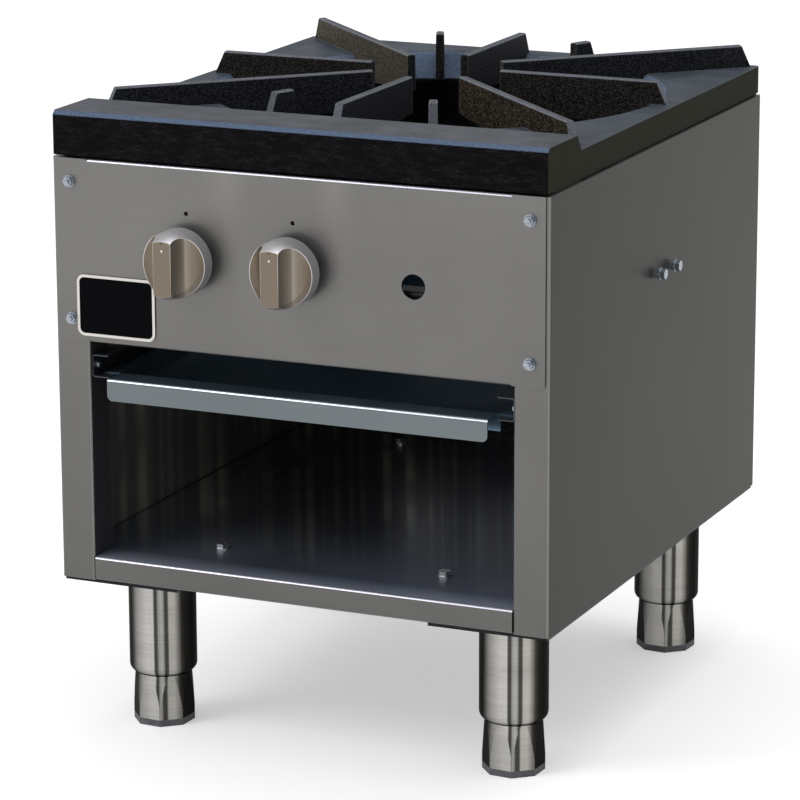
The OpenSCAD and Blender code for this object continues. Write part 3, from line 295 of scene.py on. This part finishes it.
def fold_mask(s):
    """1 on a bend of the sheet, where the normal lies between two axes, and where painted glints
    go.
    """
    main = s.math("MAXIMUM", s.math("MAXIMUM", s.size(s.nx), s.size(s.ny)), s.size(s.nz))
    ridge = s.every(s.span(s.size(s.nx), 0.15, 0.3), s.span(s.nz, 0.15, 0.3))
    return s.math("MAXIMUM", s.span(main, 0.9, 0.78), ridge)


def steel_sheet(name, along, inside, inner):
    """Satin stainless sheet: neutral faces with painted shade low down and a painted sheen beside
    the knobs, sides darker with painted shade, bends with a painted glint, and a dark inside.
    """
    s = Shader(name)
    high, lines, clouds = brushed(s, srgb(107, 106, 105), srgb(125, 124, 121), 0.3, along)
    # Painted shade: the face darkens towards the bottom
    face = s.mix(s.span(s.z, FLOOR_LO.z, FADE_TOP), s.mix(FADE_SHARE, BLACK, high), high)
    # Painted sheen, a painted reflection, in a soft column to the right of each knob
    for x, _ in KNOBS:
        beside = s.span(s.size(s.minus(s.x, x + SHEEN_SHIFT)), SHEEN_HALF, 0.0, 0.0, 0.5)
        beside = s.every(beside, s.span(s.z, SHEEN_LOW, SHEEN_HIGH))
        face = s.mix(beside, face, srgb(142, 140, 135))
    # Painted shade: the sides are darker than the face, and lighter towards the rear
    side = s.tones(clouds, srgb(56, 56, 54), srgb(68, 68, 65))
    rear = s.tones(clouds, srgb(68, 68, 63), srgb(81, 81, 75))
    side = s.mix(s.span(s.y, SIDE_LO.y, -SIDE_LO.y), side, rear)
    colour = s.mix(s.span(s.size(s.nx), 0.6, 0.9), face, side)
    # Painted glint on the bends: bluish white where face meets top, pale grey on the side's top,
    # grey on upright bends
    painted_glint = s.mix(s.span(s.size(s.nx), 0.15, 0.5), srgb(216, 216, 232), srgb(160, 159, 154))
    painted_glint = s.mix(s.span(s.nz, 0.1, 0.3), srgb(140, 139, 136), painted_glint)
    colour = s.mix(fold_mask(s), colour, painted_glint)
    mask = inside(s)
    colour = s.mix(mask, colour, inner(s))
    rough = s.minus(s.span(clouds, *WIDE, 0.3, 0.38), s.times(mask, 0.04))
    s.set(Metallic=0.7, Specular_Tint=(0.5, 0.5, 0.5, 1))
    s.link("Base Color", colour)
    s.link("Roughness", rough)
    s.link("Normal", s.bump(lines, 0.015 * MM, 0.3))
    return s.material


def inner_side(s):
    """Faces of a side panel that look to the cabinet's middle, behind its front skin."""
    inward = s.less(s.times(s.x, s.nx), -0.05)
    return s.every(inward, s.more(s.y, SIDE_LO.y + INNER_SETBACK))


def inner_floor(s):
    """The floor sheet behind the sill's bend."""
    return s.span(s.y, FLOOR_LO.y + SILL_BEND, FLOOR_LO.y + INNER_SETBACK)


def inner_panel(s):
    """The back of the control panel."""
    return s.more(s.y, PANEL_LO.y + INNER_SETBACK)


def streaks(s, along, plain):
    """Soft upright streaks of painted reflection, of uneven strength: warm to the left, blue to the
    right.
    """
    strength = s.noise(s.scaled((8, 8, 14)), 1.0, 2.0, 0.5)
    lit = s.every(s.span(s.wander(along, 32.0), 0.47, 0.7), s.span(strength, 0.34, 0.6))
    tint = s.mix(s.span(s.x, -0.05, 0.05), srgb(212, 206, 190), srgb(150, 166, 176))
    return s.mix(lit, plain, tint)


def wall_tone(s):
    """Dark polished wall with painted reflection streaks, darker on the front stile's return."""
    behind = s.span(s.y, RETURN_END, RETURN_FADE)
    return s.mix(behind, srgb(88, 88, 92), streaks(s, s.y, srgb(134, 132, 129)))


def floor_tone(s):
    """Floor sheet: pale blue painted light in front, and behind it painted reflection streaks that
    carry on the left wall's.

    A dark seam line runs along the floor's left edge.
    """
    cloud = s.noise(s.scaled((7, 5, 1)), 1.0, 2.0, 0.5)
    # Painted light from the opening: the floor's front part pale blue, paler still at its front
    # edge
    front = s.tones(cloud, srgb(102, 112, 132), srgb(124, 134, 156), MIDDLE)
    front = s.mix(s.span(s.y, FLOOR_LO.y + INNER_SETBACK, SILL_GLOW), srgb(196, 206, 228), front)
    # Painted reflection: the wall's streaks carried onto the floor, fanning out from one point
    slant = s.math("DIVIDE", s.minus(s.y, FAN_Y), s.minus(FAN_X, s.x))
    inset = s.minus(s.x, FLOOR_LO.x)
    deep = streaks(s, s.plus(s.y, s.times(inset, slant)), srgb(118, 118, 124))
    deep = s.mix(s.span(inset, SEAM_IN, SEAM_OUT), srgb(26, 26, 28), deep)
    return s.mix(s.span(s.y, FRONT_TONE, DEEP_TONE), front, deep)


def painted_shade_inside(s):
    """Dark inside of a sheet: painted shade within the cabinet."""
    return s.mix(s.noise(s.coord, 20), srgb(48, 50, 56), srgb(66, 68, 76))


def dark_sheet(name, low, high, roughness, rear=None):
    """Galvanised sheet with faint crystals; rear holds two tones for its face to the rear."""
    s = Shader(name)
    crystals = s.node("ShaderNodeTexVoronoi", feature="F1")
    s.feed(crystals.inputs["Vector"], s.coord)
    crystals.inputs["Scale"].default_value = 180
    tone = s.noise(s.coord, 22, 4, 0.6)
    crystal_share = 0.25
    shine = s.times(crystals.outputs["Color"], crystal_share)
    blend = s.plus(shine, s.times(tone, 1 - crystal_share))
    s.set(Metallic=0.8)
    colour = s.tones(blend, low, high)
    if rear:
        colour = s.mix(s.span(s.ny, 0.3, 0.6), colour, s.tones(blend, *rear))
    s.link("Base Color", colour)
    s.link("Roughness", s.span(tone, *WIDE, roughness - 0.05, roughness + 0.06))
    s.link("Normal", s.bump(s.noise(s.coord, 900, 2), 0.02 * MM, 0.3))
    return s.material


def grate_walls(s, front):
    """Upright faces: black grain, with painted light by the way each faces: cooler to the right,
    warm and lighter to the left, plainer outside and olive where outer faces look sideways.
    """
    grains = s.span(s.noise(s.coord, 800, 3, 0.6), 0.44, 0.66)
    scuffs = s.span(s.noise(s.scaled((60, 60, 240)), 1.0, 4, 0.7), 0.45, 0.75)
    sharp = s.span(s.noise(s.coord, 800, 3, 0.6), 0.52, 0.64)
    outer = s.math("MAXIMUM", front, s.more(s.size(s.x), GRATE_HI.x - GRATE_SKIN))
    band = s.mix(s.every(grains, scuffs), srgb(14, 14, 16), srgb(54, 54, 56))
    # Painted light: outer faces that look sideways get a flat olive
    outside = s.mix(s.span(s.size(s.nx), 0.7, 0.95), band, srgb(30, 31, 19))
    # Painted light: walls facing right are cooler; walls facing left warm and lighter, with sharp
    # specks towards the front
    cool = s.mix(grains, srgb(20, 21, 24), srgb(60, 62, 67))
    wall = s.mix(s.span(s.nx, 0.3, 0.6), s.mix(grains, srgb(15, 15, 17), srgb(64, 61, 57)), cool)
    near = s.mix(sharp, srgb(14, 13, 13), srgb(116, 106, 86))
    far = s.mix(grains, srgb(46, 44, 39), srgb(112, 106, 92))
    warm = s.mix(s.span(s.y, WARM_FROM, WARM_TO), near, far)
    wall = s.mix(s.span(s.nx, -0.3, -0.6), wall, warm)
    return s.mix(outer, wall, outside)


def grate_metal():
    """Sand-cast iron: black grainy walls, and painted light: slate tops lit from above, slopes in a
    pale blue painted reflection, and painted highlights on the edges.
    """
    s = Shader("grate_iron")
    soft_z = s.split(s.rounded(GRATE_ROUND))[2]
    sand = s.noise(s.coord, 1000, 4, 0.7)
    broad = s.noise(s.coord, 24, 4, 0.6)
    front = s.less(s.y, GRATE_LO.y + GRATE_SKIN)
    behind = s.minus(1.0, front)
    wall = grate_walls(s, front)
    # Painted reflection: slopes pale blue, grey where they rise above the low tops
    slope = s.tones(sand, srgb(56, 69, 90), srgb(112, 128, 152), MIDDLE)
    finger = s.tones(sand, srgb(70, 74, 82), srgb(128, 131, 138), MIDDLE)
    above = s.every(s.span(s.z, GRATE_TOP + 0.5 * MM, GRATE_TOP + 3 * MM), behind)
    slope = s.mix(above, slope, finger)
    # Painted light: the tops lighter slate, as lit from above, the lower tops bluer
    top = s.tones(broad, srgb(64, 67, 72), srgb(83, 86, 92), MIDDLE)
    plane = s.tones(broad, srgb(56, 62, 70), srgb(72, 78, 87), MIDDLE)
    top = s.mix(s.span(s.z, GRATE_TOP + 1 * MM, GRATE_TOP + 3 * MM), plane, top)
    top = s.mix(s.span(sand, 0.3, 0.75), s.mix(0.86, BLACK, top), s.mix(0.012, top, WHITE))
    colour = s.mix(s.span(soft_z, 0.12, 0.4), wall, slope)
    colour = s.mix(s.span(soft_z, 0.86, 0.97), colour, top)
    # Painted highlights on the edges, broken up by the sand
    painted_edge_highlight = s.every(s.edges(GRATE_HIGHLIGHT_RADIUS), s.span(sand, 0.3, 0.6), behind)
    s.link("Base Color", s.mix(painted_edge_highlight, colour, srgb(136, 141, 149)))
    s.link("Roughness", s.span(sand, *WIDE, 0.48, 0.62))
    s.link("Normal", s.bump(sand, 0.3 * MM, 0.6, s.rounded(GRATE_ROUND)))
    s.set(Specular_IOR_Level=0.025)
    return s.material


def cast_iron(name, low, high, roughness, grit):
    """Sand-cast iron with grit and a dull coat."""
    s = Shader(name)
    broad = s.noise(s.coord, 30, 5, 0.6)
    sand = s.noise(s.coord, 900, 4, 0.65)
    tone = s.plus(s.times(broad, 0.5), s.times(sand, 0.5))
    s.link("Base Color", s.mix(s.span(tone, 0.35, 0.68), low, high))
    s.link("Roughness", s.span(sand, *WIDE, roughness - 0.07, roughness + 0.08))
    s.link("Normal", s.bump(sand, grit * MM, 0.8))
    s.set(Specular_IOR_Level=0.4)
    return s.material


def smooth_metal(name, low, high, roughness, metallic=1.0, scale=60, grain=0.01, gloss=0.5):
    """Plated, drawn or machined metal with slight tarnish."""
    s = Shader(name)
    tone = s.noise(s.coord, scale, 4, 0.6)
    s.set(Metallic=metallic, Specular_IOR_Level=gloss)
    s.link("Base Color", s.tones(tone, low, high))
    s.link("Roughness", s.span(tone, *WIDE, roughness - 0.05, roughness + 0.06))
    s.link("Normal", s.bump(s.noise(s.coord, scale * 20, 2), grain * MM, 0.4))
    return s.material


def tray_metal():
    """The drip tray's smooth sheet: pale on its lip, a painted glint on its bend, a deep blue
    painted reflection in the pan, and grey painted light on the pan's sides.
    """
    s = Shader("tray_sheet")
    # Painted reflection: the pan deep blue
    pan, lines, clouds = brushed(s, srgb(76, 98, 114), srgb(98, 120, 136), 0.25)
    front, _, _ = brushed(s, srgb(98, 106, 109), srgb(113, 121, 124), 0.25)
    # Painted light: the pan's sides grey
    pan = s.mix(s.span(s.size(s.nx), 0.5, 0.7), pan, srgb(84, 88, 92))
    lip = s.every(s.less(s.y, TRAY_LO.y + LIP_FACE), s.less(s.ny, -0.5))
    # Painted glint along the lip's front bend
    bend = s.every(fold_mask(s), s.less(s.y, TRAY_LO.y + LIP_BEND), s.span(s.nz, 0.3, 0.6))
    s.set(Metallic=0.7)
    s.link("Base Color", s.mix(bend, s.mix(lip, pan, front), srgb(214, 221, 230)))
    s.link("Roughness", s.span(clouds, *WIDE, 0.22, 0.32))
    s.link("Normal", s.bump(lines, 0.02 * MM, 0.25))
    return s.material


def knob_mark(s, colour, across, up, front):
    """The index mark on the grip: a short line from a dark dot to a pale one."""

    def dot(height, radius):
        return s.every(front, s.span(s.length(across, s.minus(up, height)), radius, radius * 0.8))

    from_line = s.size(s.minus(up, LINE_Z))
    stroke = s.every(
        front, s.span(across, 0.35 * MM, 0.2 * MM), s.span(from_line, 1.7 * MM, 1.5 * MM)
    )
    colour = s.mix(stroke, colour, srgb(118, 106, 90))
    colour = s.mix(dot(MARK_Z, DARK_DOT_R), colour, srgb(34, 30, 26))
    return s.mix(dot(LOW_DOT_Z, PALE_DOT_R), colour, srgb(226, 222, 214))


def knob_metal():
    """Satin plated knob: warm on its turned face, silver on its side, with painted reflections in
    its hollows, painted shade low on its skirt and a painted highlight on its edge.
    """
    s = Shader("knob_satin")
    lines = s.noise(s.scaled((2600, 14, 14)), 1.0, 2.0, 0.6)
    rings = s.noise(s.scaled((9, 2600, 9)), 1.0, 2.0, 0.6)
    side = s.mix(rings, srgb(182, 180, 184), srgb(206, 204, 208))
    face = s.mix(lines, srgb(112, 102, 90), srgb(130, 119, 105))
    # Painted reflection: light and dark bands across the hollows, by the way each part faces
    hollow = s.ramp(s.span(s.nx, -1.0, 1.0), (
        (0.5, srgb(112, 101, 86)),
        (0.58, srgb(106, 95, 80)),
        (0.68, srgb(120, 109, 95)),
        (0.78, srgb(132, 122, 109)),
        (0.835, srgb(148, 139, 127)),
        (0.86, srgb(156, 148, 137)),
        (0.885, srgb(122, 113, 102)),
        (0.93, srgb(116, 107, 97)),
        (1.0, srgb(138, 130, 120)),
    ))
    across = s.math("MINIMUM", *(s.size(s.minus(s.x, x)) for x, _ in KNOBS))
    up = s.minus(s.z, KNOBS[0][1])
    reach = s.length(across, up)
    front = s.less(s.y, GRIP_BACK)
    skirt = s.less(s.y, SKIRT_BACK)
    within = s.every(s.less(reach, KNOB_R - SKIRT_SKIN), s.less(s.size(s.nz), 0.15), skirt)
    colour = s.mix(within, side, hollow)
    colour = s.mix(s.every(front, s.less(s.ny, -0.6)), colour, face)
    # Painted shade: darker low on the skirt, under the knob
    under = s.span(up, 0.2 * KNOB_R, -0.8 * KNOB_R, 0.0, 0.5)
    colour = s.mix(s.every(s.more(reach, 0.82 * KNOB_R), under), colour, srgb(78, 74, 68))
    # Painted highlight along the skirt's edge, strongest at the top
    painted_rim_highlight = s.every(s.edges(SKIRT_EDGE), skirt, s.span(up, -0.6 * KNOB_R, 0.3 * KNOB_R, 0.3, 1.0))
    colour = s.mix(painted_rim_highlight, colour, srgb(232, 229, 224))
    s.set(Metallic=0.8)
    s.link("Base Color", knob_mark(s, colour, across, up, front))
    s.link("Roughness", s.span(lines, *WIDE, 0.38, 0.48))
    s.link("Normal", s.bump(lines, 0.012 * MM, 0.35))
    return s.material


def from_leg(s, value, half):
    """Distance along one axis from the nearer leg, when the legs stand at -half and half."""
    return s.minus(value, s.times(s.math("SIGN", value), half))


def leg_metal():
    """Brushed leg tube: fine rings round it, over painted reflections: the bright and dark bands of
    a polished round.

    The painted bands follow the place round the leg, and on a foot also the way each flat looks.
    """
    s = Shader("leg_steel")
    right = from_leg(s, s.x, FOOT_X)
    deep = from_leg(s, s.minus(s.y, (FEET_REAR + FEET_FRONT) / 2), (FEET_REAR - FEET_FRONT) / 2)
    right = s.plus(s.times(right, PLACE_WEIGHT), s.nx)
    deep = s.plus(s.times(deep, PLACE_WEIGHT), s.ny)
    turn = s.math("ARCTAN2", right, s.times(deep, -1.0))
    half_turns = s.math("DIVIDE", s.minus(turn, BAND_TURN), math.pi)
    # Painted reflection: bright and dark bands round the leg
    bands = s.ramp(s.math("FRACT", s.plus(half_turns, BAND_SHIFT)), (
        (0.0, srgb(28, 27, 25)),
        (0.144, srgb(50, 48, 46)),
        (0.19, srgb(92, 90, 87)),
        (0.25, srgb(144, 142, 138)),
        (0.36, srgb(184, 182, 178)),
        (0.425, srgb(186, 184, 180)),
        (0.438, srgb(66, 64, 61)),
        (0.462, srgb(72, 70, 67)),
        (0.474, srgb(142, 141, 139)),
        (0.505, srgb(166, 165, 162)),
        (0.526, srgb(138, 136, 133)),
        (0.536, srgb(66, 64, 61)),
        (0.564, srgb(72, 70, 66)),
        (0.576, srgb(170, 168, 162)),
        (0.625, srgb(174, 172, 165)),
        (0.66, srgb(134, 132, 126)),
        (0.7, srgb(58, 56, 52)),
        (0.74, srgb(36, 34, 32)),
        (1.0, srgb(27, 26, 24)),
    ))
    rings = s.noise(s.scaled((25, 25, 2400)), 1.0, 2.0, 0.6)
    smear = s.noise(s.scaled((12, 12, 60)), 1.0, 3.0, 0.6)
    tone = s.plus(s.times(rings, 0.6), s.times(smear, 0.4))
    dim, bright = (0.74, 0.74, 0.74), (1.16, 1.16, 1.16)
    shade = s.ramp(s.span(tone, *WIDE), ((0.0, dim), (1.0, bright)))
    blend = s.node("ShaderNodeMix", data_type="RGBA", blend_type="MULTIPLY")
    blend.inputs["Factor"].default_value = 1.0
    s.feed(blend.inputs["A"], bands)
    s.feed(blend.inputs["B"], shade)
    s.set(Metallic=0.85, Specular_Tint=(0.1, 0.1, 0.1, 1))
    s.link("Base Color", blend.outputs["Result"])
    s.link("Roughness", s.span(rings, *WIDE, 0.26, 0.36))
    s.link("Normal", s.bump(rings, 0.02 * MM, 0.4))
    return s.material


def plate_enamel():
    """Black plate whose raised edge is bare metal."""
    s = Shader("plate_enamel")
    raised = s.less(s.y, PLATE_LO.y + 0.25 * MM)
    tone = s.noise(s.coord, 300, 3)
    enamel = s.mix(tone, srgb(5, 6, 9), srgb(10, 11, 14))
    s.link("Base Color", s.mix(raised, enamel, srgb(214, 210, 206)))
    s.set(Specular_IOR_Level=0.02)
    s.link("Metallic", s.times(raised, 0.6))
    s.link("Roughness", s.span(tone, *WIDE, 0.3, 0.42))
    s.link("Normal", s.bump(s.noise(s.coord, 1500, 2), 0.02 * MM, 0.3))
    return s.material


def rubber():
    """Moulded grey rubber with dust on it."""
    s = Shader("foot_rubber")
    dust = s.noise(s.coord, 120, 5, 0.65)
    s.link("Base Color", s.mix(s.span(dust, 0.35, 0.7), srgb(74, 75, 79), srgb(102, 102, 107)))
    s.link("Roughness", s.span(dust, *WIDE, 0.6, 0.8))
    s.link("Normal", s.bump(s.noise(s.coord, 1400, 3), 0.05 * MM, 0.5))
    return s.material


# Dark sheets, then plain and plated metals: two tones, then roughness and what else each one needs
SHEETS = {
    # Painted shade: galvanised sheet inside the cabinet, darker than the same sheet on the back
    # panel's rear face
    "galvanised_sheet": (srgb(50, 53, 58), srgb(68, 72, 78), 0.34),
    # Painted shade on the back panel's inner face; its rear face keeps the lighter tones
    "back_steel": (
        srgb(44, 46, 50), srgb(60, 63, 68), 0.34, (srgb(104, 108, 112), srgb(136, 140, 144))
    ),
    # Painted shade: galvanised sheet darkened for the shade the base rails and front cross rail
    # stand in
    "painted_shade_steel": (srgb(22, 23, 26), srgb(34, 36, 40), 0.4),
}
METALS = {
    "valve_brass": (srgb(176, 146, 84), srgb(200, 170, 104), 0.32),
    "pipe_black": (srgb(15, 16, 18), srgb(27, 28, 31), 0.6, 0.0, 90, 0.04, 0.08),
    "pilot_metal": (srgb(150, 152, 156), srgb(172, 174, 178), 0.3),
    # Painted highlight: the floor bolts' zinc, lighter than the other zinc hardware
    "painted_bright_zinc": (srgb(190, 192, 190), srgb(226, 227, 226), 0.26, 1.0, 400),
    "zinc_hardware": (srgb(128, 136, 146), srgb(166, 172, 180), 0.28, 1.0, 400),
}


def make_materials():
    made = {
        "front_steel": steel_sheet("front_steel", "x", inner_panel, painted_shade_inside),
        "side_steel": steel_sheet("side_steel", "z", inner_side, wall_tone),
        "sill_steel": steel_sheet("sill_steel", "x", inner_floor, floor_tone),
        "tray_sheet": tray_metal(),
        "plate_enamel": plate_enamel(),
        "grate_iron": grate_metal(),
        "burner_iron": cast_iron("burner_iron", srgb(24, 24, 26), srgb(40, 40, 42), 0.62, 0.3),
        "knob_satin": knob_metal(),
        "leg_steel": leg_metal(),
        "foot_rubber": rubber(),
    }
    made.update((name, dark_sheet(name, *values)) for name, values in SHEETS.items())
    made.update((name, smooth_metal(name, *values)) for name, values in METALS.items())
    return made


# Nodes whose finish is more particular than their record slot
OWN_FINISH = {
    "back_panel": "back_steel",
    "base_rail_left": "painted_shade_steel",
    "base_rail_right": "painted_shade_steel",
    "front_cross_rail": "painted_shade_steel",
    "floor_bolts": "painted_bright_zinc",
    "control_panel": "front_steel",
    "floor_panel": "sill_steel",
    "side_panel_left": "side_steel",
    "side_panel_right": "side_steel",
}


def dress_nodes():
    """Gives every CAD node the finish of its record slot, or its own."""
    materials = make_materials()
    slots = {row["node"]: row["material_slot"] for row in RECORD["subparts"]}
    for name, piece in NODES.items():
        finish = materials[OWN_FINISH.get(name, slots[name])]
        for slot in piece.material_slots:
            slot.material = finish


def look_from(azimuth, elevation, roll):
    """Axes of a camera that looks at the target: its right, up and backward directions."""
    back = Vector((
        math.sin(azimuth) * math.cos(elevation),
        -math.cos(azimuth) * math.cos(elevation),
        math.sin(elevation),
    ))
    right = Vector((0, 0, 1)).cross(back).normalized()
    up = back.cross(right)
    c, s = math.cos(roll), math.sin(roll)
    return c * right + s * up, c * up - s * right, back


def make_camera():
    right, up, back = look_from(CAMERA_AZIMUTH, CAMERA_ELEVATION, CAMERA_ROLL)
    place = CAMERA_TARGET + CAMERA_RIGHT * right + CAMERA_UP * up + CAMERA_DISTANCE * back
    data = bpy.data.cameras.new("camera")
    data.lens = CAMERA_LENS
    data.sensor_width = CAMERA_SENSOR
    data.clip_end = CAMERA_REACH
    camera = bpy.data.objects.new("camera", data)
    bpy.context.collection.objects.link(camera)
    turn = Matrix((right, up, back)).transposed().to_4x4()
    camera.matrix_world = Matrix.Translation(place) @ turn
    bpy.context.scene.camera = camera


def make_world():
    """White where the camera, metal or glass sees it, and a plain soft light on everything."""
    world = bpy.data.worlds.new("studio")
    bpy.context.scene.world = world
    world.use_nodes = True
    tree = world.node_tree
    background = tree.nodes["Background"]
    light = tree.nodes.new("ShaderNodeLightPath")
    seen = light.outputs["Is Camera Ray"]
    for name in ("Is Glossy Ray", "Is Transmission Ray"):
        add = tree.nodes.new("ShaderNodeMath")
        add.operation = "MAXIMUM"
        tree.links.new(seen, add.inputs[0])
        tree.links.new(light.outputs[name], add.inputs[1])
        seen = add.outputs[0]
    level = tree.nodes.new("ShaderNodeMapRange")
    level.inputs["To Min"].default_value = WORLD_LEVEL
    level.inputs["To Max"].default_value = 1.0
    tree.links.new(seen, level.inputs["Value"])
    tree.links.new(level.outputs["Result"], background.inputs["Strength"])
    background.inputs["Color"].default_value = (1, 1, 1, 1)


def make_lamp(name, place, target, size, power):
    data = bpy.data.lights.new(name, "AREA")
    data.shape = "RECTANGLE"
    data.size, data.size_y = size
    data.energy = power
    lamp = bpy.data.objects.new(name, data)
    bpy.context.collection.objects.link(lamp)
    lamp.location = place
    lamp.rotation_euler = (Vector(target) - Vector(place)).to_track_quat("-Z", "Y").to_euler()


def make_floor():
    """Pale floor that the camera, metal and glass see as white, and that keeps the shadow."""
    bpy.ops.mesh.primitive_plane_add(size=14, location=(0, 0, 0))
    floor = bpy.context.object
    floor.name = "studio_floor"
    s = Shader("studio_floor")
    tone = s.noise(s.coord, 3, 3)
    seen = s.node("ShaderNodeLightPath").outputs
    bright = s.math("MAXIMUM", seen["Is Camera Ray"], seen["Is Glossy Ray"])
    bright = s.math("MAXIMUM", bright, seen["Is Transmission Ray"])
    away = s.node("ShaderNodeVectorMath", operation="LENGTH")
    s.feed(away.inputs[0], s.coord)
    glow = s.span(away.outputs["Value"], 0.8, 4.0, 0.4, 0.5)
    s.link("Base Color", s.mix(tone, (0.86, 0.86, 0.86), (0.9, 0.9, 0.9)))
    s.link("Emission Strength", s.times(bright, glow))
    s.set(Roughness=0.9, Specular_IOR_Level=0.1, Emission_Color=(1, 1, 1, 1))
    floor.data.materials.append(s.material)


bpy.context.scene.view_settings.view_transform = "Standard"
dress_nodes()
make_camera()
make_world()
make_floor()
make_lamp("key_lamp", (-1.9, -2.2, 2.6), (0, 0, 0.35), (1.6, 1.6), 42)
make_lamp("top_lamp", (0.4, 0.6, 3.0), (0, 0, 0.4), (2.2, 2.2), 30)
